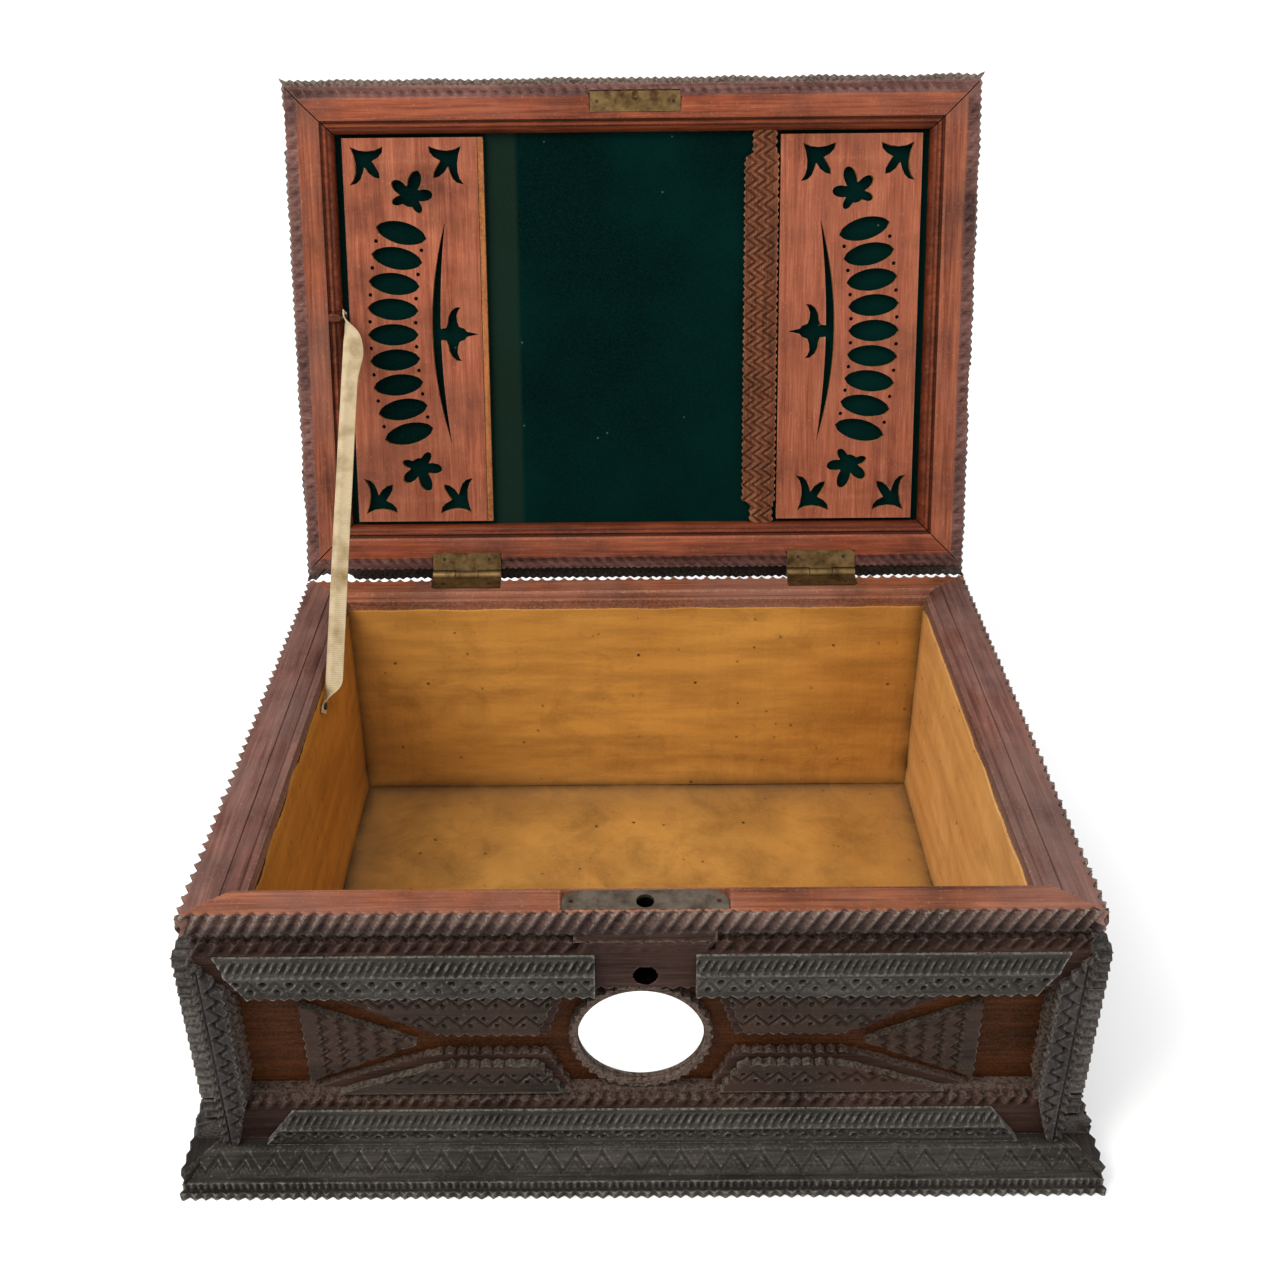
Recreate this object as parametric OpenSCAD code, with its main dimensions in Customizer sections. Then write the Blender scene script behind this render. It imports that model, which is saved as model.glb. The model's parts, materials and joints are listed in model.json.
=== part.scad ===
// Chip-carved box of layered cigar-box wood, hinged lid, link lock and cotton stay.
// Millimetres, +Z up, front towards -Y, origin on the underside at the middle of the rim.

/* [Case] */
// Width of the rim, corner to corner
rim_w = 300; // [260:1:340]
// Depth of the rim, front to back
rim_d = 214; // [190:1:240]
// Height of the rim's top face above the table
case_h = 121; // [112:1:135]
// Thickness of the rim boards
rim_t = 9; // [7:0.5:11]
// Width of the side rim boards
rim_side_w = 20; // [18:0.5:23]
// Width of the front rim board
rim_front_w = 15; // [14:0.5:18]
// Width of the back rim board
rim_back_w = 15; // [14:0.5:17]
// Width of the bevel on the rim's inner edge
rim_bevel_w = 4; // [3:0.5:5]
// Drop of that bevel
rim_bevel_drop = 3; // [1:0.5:4]
// Thickness of the front wall board
wall_front_t = 5; // [4:0.5:7]
// Thickness of the back wall board
wall_back_t = 8; // [6:0.5:10]
// Thickness of the side wall boards
wall_side_t = 14.5; // [12:0.5:16]
// Thickness of the bottom board
bottom_t = 13; // [9:0.5:16]
// Thickness of the paper-faced lining
lining_t = 1.2; // [0.8:0.1:2]
// How far the lining climbs past the underside of the rim
lining_lap = 2; // [0:0.1:3]

/* [Plinth] */
// How far the foot stands out past the rim, all round
plinth_out = 13; // [11:0.5:18]
// Height of the toothed foot board
plinth_base_t = 3; // [2:0.5:4]
// Height of the toothed board above it
plinth_mid_t = 4; // [3:0.5:5]
// How far that board steps in
plinth_mid_in = 1.5; // [1:0.25:3]
// Step in to the foot of the carved slope
plinth_slope_in = 4; // [3:0.5:6]
// Width of the carved slope
plinth_slope_w = 6; // [4:0.5:8]
// Height of the step board on each side
side_step_t = 9; // [6:0.5:10]
// How far the side step stands in from the foot
side_step_in = 3; // [2:0.5:5]

/* [Carved layers] */
// Thickness of the first layer on the walls
layer1_t = 4; // [3:0.25:5]
// Thickness of the second layer on the front
layer2_t = 3.5; // [2.5:0.25:4.5]
// Thickness of the carved bars on top
bar_t = 3.5; // [2.5:0.25:5]
// Width of the carved bars
bar_w = 17; // [13:0.5:19]
// Width of the bottom bar
low_bar_w = 14.5; // [12:0.5:16]
// Width of the upright carved bars
post_w = 11; // [8:0.5:13]
// Thickness of the carved bars on the sides
side_bar_t = 6.5; // [4:0.5:7]
// Width of the bevel on the upper edge of the bars
bar_bevel_w = 6.5; // [3:0.5:8]
// Depth of that bevel at the edge
bar_bevel_d = 2; // [1:0.25:2.25]
// Height of the notched row that shows above the top bars
row_h = 6; // [4:0.5:8]
// Depth of the fillet between the rim and that row
row_gap = 5; // [3:0.5:7]
// Width of the bare strip between the opening and the end of the layers
stile_w = 10; // [8:0.5:13]
// Notch spacing along the layer edges
notch = 4.3; // [3:0.1:6]
// Notch depth
notch_d = 1.4; // [0.8:0.1:2]

/* [Front ornaments] */
// Thickness of the layered ornaments on the front panel
ornament_t = 3; // [2:0.25:4]
// Gap between a triangle and the end of the panel
tri_margin = 21.5; // [15:0.5:25]
// Length of a triangle, base to tip
tri_l = 40; // [30:0.5:45]
// Room above and below a triangle
tri_clear = 7; // [5:0.5:10]
// Gap between the long edge of a side ornament and the end of the panel
trap_margin = 22.5; // [16:0.5:26]
// How far the slanted end of a side ornament draws in
trap_slant = 45; // [35:0.5:50]
// Lean of the end next to the mirror
trap_lean = 8; // [4:0.5:10]
// Gap between the mirror ring and a side ornament
trap_clear = 7; // [5:0.5:10]
// Gap between the upper and lower side ornaments
trap_gap = 8; // [6:0.5:10]
// Inset of the upper layer of the side ornaments
trap_inset = 3; // [2:0.25:4]
// How far the ornaments sit below the middle of the panel
ornament_drop = 4; // [0:0.5:6]

/* [Mirror] */
// Gap between the ring and the panel's opening
ring_gap = 0.25; // [0.25:0.25:3]
// Thickness of the mirror
mirror_t = 2; // [1.5:0.25:3]
// Width of the notched ring round it
ring_w = 3; // [2:0.25:3.5]

/* [Lid] */
// Height of the lid rails
lid_rail_h = 14; // [12:0.5:18]
// Width of the lid rails
lid_rail_w = 20; // [17:0.5:22]
// Thickness of the lid board
lid_board_t = 5; // [4:0.5:7]
// How far the lid board stands out at the front and sides
lid_over = 4.5; // [3:0.5:6]
// How far it stands out at the back
lid_over_back = 6.5; // [4:0.5:8]
// Thickness of each layer on the lid
lid_layer_t = 4; // [3:0.5:6]
// Step in from one lid layer to the next
lid_step = 10; // [8:0.5:16]
// Depth of the recess inside the lid, down to the velvet
lid_recess = 9; // [7:0.5:10]
// Thickness of the pierced panels
fret_t = 3; // [2:0.25:4]
// Width of the pierced panels
fret_w = 65; // [60:1:70]
// Width of the carved strip beside the right panel
strip_w = 15.5; // [9:0.5:16]
// Opening angle at which the stay comes taut
lid_open = 106.3; // [95:0.5:112]
// Gap between lid and rim when closed
lid_gap = 0.3; // [0.2:0.1:0.6]

/* [Hinges and lock] */
// Width of a hinge
hinge_w = 31; // [26:0.5:36]
// Distance of the left hinge from the middle
hinge_left = 77; // [60:1:90]
// Distance of the right hinge from the middle
hinge_right = 85; // [60:1:90]
// Radius of the hinge knuckle
knuckle_r = 2.2; // [2:0.1:2.4]
// Radius of the hinge pin
pin_r = 1; // [0.8:0.05:1.2]
// Hinge leaf thickness
leaf_t = 1; // [0.8:0.1:1.4]
// Leaf depth on the rail
leaf_d = 8; // [6:0.5:10]
// Distance of the hinge axis behind the rim
axis_back = 2.5; // [2.5:0.1:3]
// Sideways place of the lock
lock_x = 1.5; // [-4:0.5:4]
// Length of the lock plate
lock_plate_w = 54; // [44:1:60]
// Depth of the lock plate
lock_plate_d = 10; // [9:0.5:11]
// Thickness of the lock plate
lock_plate_t = 1.2; // [0.8:0.1:1.6]
// Width of the lock's works
lock_w = 46; // [36:1:52]
// Height of the lock's works below the plate
lock_h = 32; // [30:0.5:36]
// Diameter of the keyhole
keyhole_d = 7.5; // [5:0.25:8.5]
// Depth of the keyhole below the rim
keyhole_drop = 29.5; // [27:0.5:30]
// Radius of the link pin under the lid
link_r = 1.5; // [1.4:0.05:1.6]
// Length of the link pin
link_l = 9; // [8:0.5:11]
// Travel of the bolt
bolt_travel = 7; // [6:0.5:9]
// Width of the strike plate
strike_w = 39; // [32:1:44]
// Depth of the strike plate
strike_d = 8.5; // [7:0.5:10]
// Radius of the nail shanks
nail_r = 0.8; // [0.6:0.05:0.9]
// Radius of the nail heads
nail_head_r = 1.6; // [1.3:0.1:1.8]

/* [Stay] */
// Width of the folded cotton tape
tape_w = 5; // [4:0.5:7]
// Thickness of the folded tape
tape_t = 1; // [0.8:0.1:1.2]
// Distance of the lid nail from the rim's back edge along the lid
tape_lid_u = 115; // [95:1:125]
// Distance of the case nail behind the middle of the box
tape_case_y = 25; // [10:1:35]

/* [Hidden] */
$fn = 48;
eps = 0.01;
fit = 0.05;
hole_fit = 0.02;
play = 0.3;
hw = rim_w / 2;
hd = rim_d / 2;
plinth_w = rim_w + 2 * plinth_out;
plinth_d = rim_d + 2 * plinth_out;
// Inner faces of the walls
in_x = hw - rim_side_w;
in_front = -hd + rim_front_w;
in_back = hd - rim_back_w;
// Outer faces of the walls
out_x = in_x + wall_side_t;
out_front = in_front - wall_front_t;
out_back = in_back + wall_back_t;
wall_top = case_h - rim_t;
lining_top = wall_top + lining_lap;
floor_z = bottom_t + lining_t;
// Depth planes of the front layers
front1 = out_front - layer1_t;
front2 = front1 - layer2_t;
// Front layer heights
row_top = wall_top - row_gap;
top_bar_top = row_top - row_h;
top_bar_bottom = top_bar_top - bar_w;
low_bar_top = bottom_t + low_bar_w;
panel_bottom = low_bar_top + row_h;
panel_top = top_bar_bottom;
panel_mid = (panel_bottom + panel_top) / 2;
layer_x = out_x + layer1_t;
panel_x = layer_x - stile_w;
post_over = 0.5;
post_out = layer_x + post_over;
post_in = post_out - post_w;
// The top bars stop short of the lock
lock_clear = 13;
bar_gap = keyhole_d / 2 + lock_clear;
bar_slant = 0.6;
post_slant = 0.8;
mitre_gap = 7;
bar_end_gap = 4.5;
// Mirror
ring_r = (panel_top - panel_bottom) / 2 - ring_gap;
mirror_r = ring_r - ring_w;
// Front ornaments
tri_out = panel_x - tri_margin;
tri_tip = tri_out - tri_l;
trap_long = panel_x - trap_margin;
trap_short = trap_long - trap_slant;
trap_near = ring_r + trap_clear;
trap_draw = 3;
orn_mid = panel_mid - ornament_drop;
tri_half = (panel_top - panel_bottom) / 2 - tri_clear;
// Lid heights above the hinge plane, closed
lid_z = lid_gap;
board_z = lid_z + lid_rail_h;
layer_a_z = board_z + lid_board_t;
layer_b_z = layer_a_z + lid_layer_t;
ornament_z = layer_b_z + lid_layer_t;
axis_y = hd + axis_back;
axis_z = case_h + lid_gap / 2;
lid_in_x = hw - lid_rail_w;
lid_in_y = hd - lid_rail_w;
fret_x = lid_in_x - fret_w;
velvet_z = case_h + lid_recess;
strip_gap = 0.5;
hinge_at = [-hinge_left, hinge_right];
// Pierced motifs
bow_r = 120;
bow_x = -0.2 * fret_w;
bow_n = 5;
bow_turn = 4.4;
bow_tip_l = 14;
oval_l = 20;
oval_w = 7;
crescent_r = 143;
crescent_x = 0.1 * fret_w;
crescent_w = 4.2;
crescent_l = 100;
crescent_tip_l = 16;
sprig_edge = 8;
sprig_l = 13;
sprig_w = 5;
// Lock
plate_edge = 1;
nail_edge = 3;
lock_skin = 1.2;
lock_y = -hd + plate_edge + lock_plate_d / 2;
lock_top = case_h - lock_plate_t;
lock_front = front2 + lock_skin;
lock_back = out_front;
link_bottom = case_h - link_l;
link_room = 1.5;
link_foot = 1.6;
link_edge = 0.8;
bolt_w = 1;
bolt_h = 2.6;
bolt_l = 15;
bolt_z = link_bottom + link_foot;
slot_w = bolt_w + 2 * play;
slot_h = bolt_h + 2 * play;
keyhole_z = case_h - keyhole_drop;
nail_l = 5;
// Stay ends, in the plane of the left lining
tape_x = -in_x + lining_t;
tape_edge = 3.5;
tape_low = [tape_case_y, lining_top - nail_head_r - tape_edge];
tape_v = 1.5;
tape_end = 3;
u_lid = tape_lid_u + axis_back;
tape_high = [axis_y - u_lid * cos(lid_open) + tape_v * sin(lid_open),
             axis_z + u_lid * sin(lid_open) + tape_v * cos(lid_open)];

// Outlines

// Points of one edge cut into V notches, inside on the left, with a plain land at each end
function toothed_edge(a, b, p, d) =
    let (l = norm(b - a), t = (b - a) / l, m = [-t[1], t[0]],
         n = max(1, round((l - 2 * p) / p)), q = (l - 2 * p) / n)
    [a, for (i = [0 : n - 1]) each [a + t * (p + i * q), a + t * (p + (i + 0.5) * q) + m * d], b - t * p];

// A counter-clockwise outline with the edges flagged in cut notched
function toothed(pts, cut, p = notch, d = notch_d) =
    [for (k = [0 : len(pts) - 1])
        let (a = pts[k], b = pts[(k + 1) % len(pts)])
        each (cut[k] ? toothed_edge(a, b, p, d) : [a])];

function rect(x0, y0, x1, y1) = [[x0, y0], [x1, y0], [x1, y1], [x0, y1]];

// One mitred rail of a frame: 0 front, 1 right, 2 back, 3 left
function rail(x, y0, y1, xi, yi0, yi1, side) =
    let (o = [[-x, y0], [x, y0], [x, y1], [-x, y1]],
         i = [[-xi, yi0], [xi, yi0], [xi, yi1], [-xi, yi1]], e = (side + 1) % 4)
    [o[side], o[e], i[e], i[side]];

// Mirrors an outline left to right and keeps it counter-clockwise
function flip(pts) = [for (k = [len(pts) - 1 : -1 : 0]) [-pts[k][0], pts[k][1]]];

EDGE1 = [true, false, false, false];
ALL4 = [true, true, true, true];

// A notched lozenge with blunt points
module blunt_lozenge(x, y) {
    b = 2 * notch;
    polygon(toothed([[x, -b], [x, b], [b, y], [-b, y], [-x, b], [-x, -b], [-b, -y], [b, -y]],
                    [for (k = [0 : 7]) true]));
}

// Placing

// An outline in X and Z, thickened towards the front from the plane y
module on_front(y, t) {
    translate([0, y, 0]) rotate([90, 0, 0]) linear_extrude(t) children();
}

module on_back(y, t) {
    translate([0, y + t, 0]) rotate([90, 0, 0]) linear_extrude(t) children();
}

// An outline in Y and Z, thickened outwards on the right from the plane x
module on_right(x, t) {
    translate([x, 0, 0]) rotate([90, 0, 90]) linear_extrude(t) children();
}

module on_left(x, t) {
    mirror([1, 0, 0]) on_right(x, t) children();
}

// Turns the closed lid back about the hinge axis
module opened() {
    translate([0, axis_y, axis_z]) rotate([-lid_open, 0, 0]) translate([0, -axis_y, -axis_z]) children();
}

// A bar with a bevelled upper edge, from the plane y towards the front
module bevelled_bar(y, t, pts, z_top) {
    difference() {
        on_front(y, t) polygon(pts);
        translate([0, y - t, z_top]) rotate([90, 0, 90]) linear_extrude(2 * plinth_w, center = true)
            polygon([[-eps, eps], [-eps, -bar_bevel_w], [0, -bar_bevel_w],
                     [bar_bevel_d, 0], [bar_bevel_d, eps]]);
    }
}

// Case boards

module bottom_board() {
    color("peru") translate([-out_x, out_front, 0]) cube([2 * out_x, out_back - out_front, bottom_t]);
}

module keyhole_cut() {
    translate([lock_x, 0, keyhole_z]) rotate([90, 0, 0]) cylinder(d = keyhole_d, h = rim_d);
}

module front_wall() {
    color("sienna") translate([-out_x, out_front, bottom_t])
        cube([2 * out_x, wall_front_t, wall_top - bottom_t]);
}

module back_wall() {
    color("sienna") translate([-out_x, in_back, bottom_t])
        cube([2 * out_x, wall_back_t, wall_top - bottom_t]);
}

module side_wall() {
    translate([in_x, in_front, bottom_t]) cube([wall_side_t, in_back - in_front, wall_top - bottom_t]);
}

module right_wall() {
    color("sienna") side_wall();
}

module left_wall() {
    color("sienna") difference() {
        mirror([1, 0, 0]) side_wall();
        tape_nail_hole();
    }
}

// Wedge that bevels the inner edge of a rail lying along X, inner edge at y = 0 facing +Y
module bevel_wedge() {
    rotate([90, 0, 90]) linear_extrude(2 * rim_w, center = true)
        polygon([[eps, -rim_bevel_drop], [eps, eps], [-rim_bevel_w, eps],
                 [-rim_bevel_w, 0], [0, -rim_bevel_drop]]);
}

module rim_rail(side) {
    difference() {
        translate([0, 0, wall_top]) linear_extrude(rim_t)
            polygon(toothed(rail(hw, -hd, hd, in_x, in_front, in_back, side), EDGE1));
        translate([0, 0, case_h]) {
            if (side == 0) translate([0, in_front, 0]) bevel_wedge();
            if (side == 1) translate([in_x, 0, 0]) rotate(90) bevel_wedge();
            if (side == 2) translate([0, in_back, 0]) rotate(180) bevel_wedge();
            if (side == 3) translate([-in_x, 0, 0]) rotate(-90) bevel_wedge();
        }
    }
}

// Space that the lock takes, from the plate down
module lock_space(c) {
    translate([lock_x - lock_plate_w / 2 - c, lock_y - lock_plate_d / 2 - c, lock_top - c])
        cube([lock_plate_w + 2 * c, lock_plate_d + 2 * c, lock_plate_t + 2 * c]);
    translate([lock_x - lock_w / 2 - c, lock_front - c, lock_top - lock_h - c])
        cube([lock_w + 2 * c, lock_back - lock_front + c, lock_h + c]);
}

module lock_nail_places() {
    for (s = [-1, 1])
        translate([lock_x + s * (lock_plate_w / 2 - nail_edge), lock_y, case_h - nail_l]) children();
}

module leaf_nail_places(z) {
    for (x = hinge_at, s = [-1, 1])
        translate([x + s * hinge_w / 3, hd - leaf_d / 2 - plate_edge, z]) children();
}

module rim_front() {
    color("saddlebrown") difference() {
        rim_rail(0);
        lock_space(fit);
        lock_nail_places() cylinder(r = nail_r + hole_fit, h = rim_t);
    }
}

module rim_back() {
    color("saddlebrown") difference() {
        rim_rail(2);
        for (x = hinge_at)
            translate([x - hinge_w / 2 - fit, hd - leaf_d, case_h - leaf_t])
                cube([hinge_w + 2 * fit, 2 * leaf_d, 2 * leaf_t]);
        leaf_nail_places(case_h - nail_l) cylinder(r = nail_r + hole_fit, h = rim_t);
    }
}

module rim_left() {
    color("saddlebrown") rim_rail(3);
}

module rim_right() {
    color("saddlebrown") rim_rail(1);
}

// Lining

module lining_floor() {
    color("goldenrod") translate([-in_x, in_front, bottom_t])
        cube([2 * in_x, in_back - in_front, lining_t]);
}

module lining_front() {
    color("goldenrod") translate([-in_x, in_front, floor_z])
        cube([2 * in_x, lining_t, lining_top - floor_z]);
}

module lining_back() {
    color("goldenrod") translate([-in_x, in_back - lining_t, floor_z])
        cube([2 * in_x, lining_t, lining_top - floor_z]);
}

module side_lining() {
    translate([in_x - lining_t, in_front + lining_t, floor_z])
        cube([lining_t, in_back - in_front - 2 * lining_t, lining_top - floor_z]);
}

module tape_nail_hole() {
    translate([-in_x - nail_l, tape_low[0], tape_low[1]]) rotate([0, 90, 0])
        cylinder(r = nail_r + hole_fit, h = nail_l + 2 * lining_t);
}

module lining_left() {
    color("goldenrod") difference() {
        mirror([1, 0, 0]) side_lining();
        tape_nail_hole();
    }
}

module lining_right() {
    color("goldenrod") side_lining();
}

// Plinth

// All the slabs of the foot meet on the mitre line of the lowest one
module plinth_slab(side, inset, z, t) {
    across = plinth_w / 2 - out_x;
    front = plinth_d / 2 + out_front;
    back = plinth_d / 2 - out_back;
    long = side % 2 == 0;
    x = plinth_w / 2 - (long ? inset * across / (side == 0 ? front : back) : inset);
    y0 = plinth_d / 2 - (long ? inset : inset * front / across);
    y1 = plinth_d / 2 - (long ? inset : inset * back / across);
    translate([0, 0, z]) linear_extrude(t)
        polygon(toothed(rail(x, -y0, y1, out_x, out_front, out_back, side), EDGE1));
}

// Carved slope of a plinth board, outwards along +Y from the wall face
module slope_profile(reach) {
    foot = plinth_base_t + plinth_mid_t;
    edge = reach - plinth_slope_in;
    rotate([90, 0, 90]) linear_extrude(2 * plinth_w, center = true)
        polygon([[0, foot], [edge, foot], [edge - plinth_slope_w, bottom_t], [0, bottom_t]]);
}

module plinth_long(side, face, turn) {
    plinth_slab(side, 0, 0, plinth_base_t);
    plinth_slab(side, plinth_mid_in, plinth_base_t, plinth_mid_t);
    intersection() {
        linear_extrude(case_h)
            polygon(rail(plinth_w / 2, -plinth_d / 2, plinth_d / 2, out_x, out_front, out_back, side));
        translate([0, face, 0]) rotate(turn) slope_profile(plinth_d / 2 - abs(face));
    }
}

module plinth_short(side) {
    plinth_slab(side, 0, 0, plinth_base_t);
    plinth_slab(side, plinth_mid_in, plinth_base_t, bottom_t - plinth_base_t);
}

module plinth_front() {
    color("dimgray") plinth_long(0, out_front, 180);
}

module plinth_back() {
    color("dimgray") plinth_long(2, out_back, 0);
}

module plinth_left() {
    color("dimgray") plinth_short(3);
}

module plinth_right() {
    color("dimgray") plinth_short(1);
}

module plinth_steps() {
    step_out = plinth_w / 2 - side_step_in;
    step = toothed(rect(layer_x, front2, step_out, out_back), [false, true, false, false]);
    color("dimgray") for (m = [0, 1]) mirror([m, 0, 0])
        translate([0, 0, bottom_t]) linear_extrude(side_step_t) polygon(step);
}

// Front layers

module front_frame_lower() {
    color("#5a4038") difference() {
        on_front(out_front, layer1_t) difference() {
            polygon(toothed(rect(-layer_x, bottom_t, layer_x, wall_top), [false, true, false, true]));
            polygon(toothed(rect(-panel_x, panel_bottom, panel_x, panel_top), [false, true, false, true]));
        }
        lock_space(fit);
        keyhole_cut();
    }
}

module front_frame_upper() {
    x = panel_x + notch_d;
    color("#4d4240") difference() {
        on_front(front1, layer2_t) difference() {
            polygon(toothed(rect(-layer_x, bottom_t, layer_x, row_top), [false, true, true, true]));
            polygon(toothed(rect(-x, panel_bottom - notch_d, x, panel_top + notch_d), ALL4));
        }
        lock_space(fit);
        keyhole_cut();
    }
}

// Right-hand top bar from the x of its inner end
function top_bar(x) = [[x, top_bar_bottom], [post_in - mitre_gap, top_bar_bottom],
                       [post_in - mitre_gap + bar_w * bar_slant, top_bar_top], [x, top_bar_top]];

module top_bar_right() {
    color("#4a4644") bevelled_bar(front2, bar_t, top_bar(lock_x + bar_gap), top_bar_top);
}

module top_bar_left() {
    color("#4a4644") bevelled_bar(front2, bar_t, flip(top_bar(bar_gap - lock_x)), top_bar_top);
}

module bottom_bar() {
    low = post_in - bar_end_gap;
    high = low - bar_w * bar_slant;
    color("#4a4644") bevelled_bar(front2, bar_t,
        [[-low, bottom_t], [low, bottom_t], [high, low_bar_top], [-high, low_bar_top]], low_bar_top);
}

function post() = [[post_out, bottom_t], [post_out, top_bar_top], [post_in, top_bar_top - bar_w * post_slant],
                   [post_in, low_bar_top + mitre_gap], [post_out - post_w / 2, bottom_t]];
POST_CUT = [true, false, true, false, false];

module post_right() {
    color("#4a4644") on_front(front2, bar_t)
        polygon(toothed(post(), POST_CUT));
}

module post_left() {
    color("#4a4644") on_front(front2, bar_t)
        polygon(flip(toothed(post(), POST_CUT)));
}

function triangle() = [[tri_out, orn_mid - tri_half], [tri_out, orn_mid + tri_half], [tri_tip, orn_mid]];

module triangle_right() {
    color("#5c5650") on_front(out_front, ornament_t)
        polygon(toothed(triangle(), [true, true, true]));
}

module triangle_left() {
    color("#5c5650") on_front(out_front, ornament_t)
        polygon(flip(toothed(triangle(), [true, true, true])));
}

// Right-hand ornaments above and below the middle line, drawn in by i on the sides
function trap_up(i) = let (z = orn_mid + trap_gap / 2 + i)
    [[trap_near + i, z], [trap_short - i, z],
     [trap_long - trap_draw * i, panel_top], [trap_near + i - trap_lean, panel_top]];
function trap_low(i) = let (z = orn_mid - trap_gap / 2 - i)
    [[trap_near + i - trap_lean, panel_bottom], [trap_long - trap_draw * i, panel_bottom],
     [trap_short - i, z], [trap_near + i, z]];

module trapezoid_layer(y, i) {
    on_front(y, ornament_t) for (m = [0, 1]) mirror([m, 0]) {
        polygon(toothed(trap_up(i), [true, true, false, true]));
        polygon(toothed(trap_low(i), [false, true, true, true]));
    }
}

module trapezoids_lower() {
    color("#6a4a3a") trapezoid_layer(out_front, 0);
}

module trapezoids_upper() {
    color("#4a4644") trapezoid_layer(out_front - ornament_t, trap_inset);
}

module mirror_disc() {
    color("white") translate([0, out_front, panel_mid]) rotate([90, 0, 0])
        cylinder(r = mirror_r - play, h = mirror_t);
}

module mirror_ring() {
    n = round(2 * PI * ring_r / notch);
    edge = [for (i = [0 : 2 * n - 1]) let (r = i % 2 == 0 ? ring_r : ring_r - notch_d, a = 180 * i / n)
            r * [cos(a), sin(a)]];
    color("#6b5d3c") translate([0, 0, panel_mid]) on_front(out_front, layer1_t) difference() {
        polygon(edge);
        circle(mirror_r);
    }
}

// Side and back layers, outlines in Y and Z or X and Z

module frame_outline(a, b) {
    difference() {
        polygon(rect(a, bottom_t, b, wall_top));
        polygon(toothed(rect(a + stile_w, panel_bottom, b - stile_w, panel_top), ALL4));
    }
}

// Long bars above and below, uprights between them
module bars_outline(a, b, foot) {
    low_top = foot + post_w;
    cut = [true, false, true, false];
    polygon(toothed(rect(a, foot, b, low_top), cut));
    polygon(toothed(rect(a, top_bar_bottom, b, top_bar_top), cut));
    for (x = [a, b - post_w])
        polygon(toothed(rect(x, low_top + play, x + post_w, top_bar_bottom - play),
                        [false, true, false, true]));
}

module lozenge_outline(a, b) {
    reach = (panel_top - panel_bottom) / 2 - notch;
    translate([(a + b) / 2, panel_mid]) blunt_lozenge(2 * reach, reach);
}

side_foot = bottom_t + side_step_t;

module right_frame() {
    color("#5a4038") on_right(out_x, layer1_t) frame_outline(out_front, out_back);
}

module left_frame() {
    color("#5a4038") on_left(out_x, layer1_t) frame_outline(out_front, out_back);
}

module side_ornament() {
    on_right(layer_x, side_bar_t) bars_outline(front2, out_back, side_foot);
    on_right(out_x, bar_t) lozenge_outline(out_front, out_back);
}

module right_ornament() {
    color("#4a4644") side_ornament();
}

module left_ornament() {
    color("#4a4644") mirror([1, 0, 0]) side_ornament();
}

module back_frame() {
    color("#5a4038") on_back(out_back, layer1_t) frame_outline(-layer_x, layer_x);
}

module back_ornament() {
    color("#4a4644") {
        on_back(out_back + layer1_t, bar_t) bars_outline(-layer_x, layer_x, bottom_t);
        on_back(out_back, bar_t) lozenge_outline(-layer_x, layer_x);
    }
}

// Lock

bolt_tip = lock_x - link_r - 2 * play;

module bolt_bar(c, extra) {
    translate([bolt_tip - bolt_l - c, lock_y - bolt_w / 2 - c, bolt_z - c])
        cube([bolt_l + extra + 2 * c, bolt_w + 2 * c, bolt_h + 2 * c]);
}

module lock_case() {
    color("#8a8068") difference() {
        translate([lock_x - lock_w / 2, lock_front, lock_top - lock_h])
            cube([lock_w, lock_back - lock_front, lock_h]);
        translate([lock_x, lock_y, link_bottom - play]) cylinder(r = link_r + link_room, h = link_l);
        bolt_bar(fit, bolt_travel + play);
        translate([lock_x, lock_back - 2 * lock_skin, keyhole_z]) rotate([90, 0, 0])
            cylinder(d = keyhole_d, h = rim_d);
    }
}

module lock_plate() {
    color("#8f8660") difference() {
        translate([lock_x - lock_plate_w / 2, lock_y - lock_plate_d / 2, lock_top])
            cube([lock_plate_w, lock_plate_d, lock_plate_t]);
        translate([lock_x, lock_y, 0]) cylinder(r = link_r + link_room, h = 2 * case_h);
        lock_nail_places() cylinder(r = nail_r + hole_fit, h = rim_t);
    }
}

module lock_bolt() {
    color("#a09060") bolt_bar(0, 0);
}

// Hinges

knuckle_l = hinge_w / 3;

module knuckle(x0, x1) {
    translate([x0, axis_y, axis_z]) rotate([0, 90, 0]) cylinder(r = knuckle_r, h = x1 - x0);
}

module pin_bore(x) {
    translate([x - hinge_w, axis_y, axis_z]) rotate([0, 90, 0]) cylinder(r = pin_r + fit, h = 2 * hinge_w);
}

module knuckle_room(x0, x1) {
    translate([x0, axis_y - knuckle_r - play, axis_z - 2 * knuckle_r])
        cube([x1 - x0, 4 * knuckle_r, 4 * knuckle_r]);
}

module leaf(x, z) {
    translate([x - hinge_w / 2, hd - leaf_d, z]) cube([hinge_w, leaf_d + axis_back, leaf_t]);
}

module hinge_leaves_case() {
    color("#9a8448") difference() {
        for (x = hinge_at) difference() {
            union() {
                leaf(x, case_h - leaf_t);
                knuckle(x - hinge_w / 2, x - knuckle_l / 2 - play / 2);
                knuckle(x + knuckle_l / 2 + play / 2, x + hinge_w / 2);
            }
            knuckle_room(x - knuckle_l / 2 - play / 2, x + knuckle_l / 2 + play / 2);
            pin_bore(x);
        }
        leaf_nail_places(case_h - nail_l) cylinder(r = nail_r + hole_fit, h = rim_t);
    }
}

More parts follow.
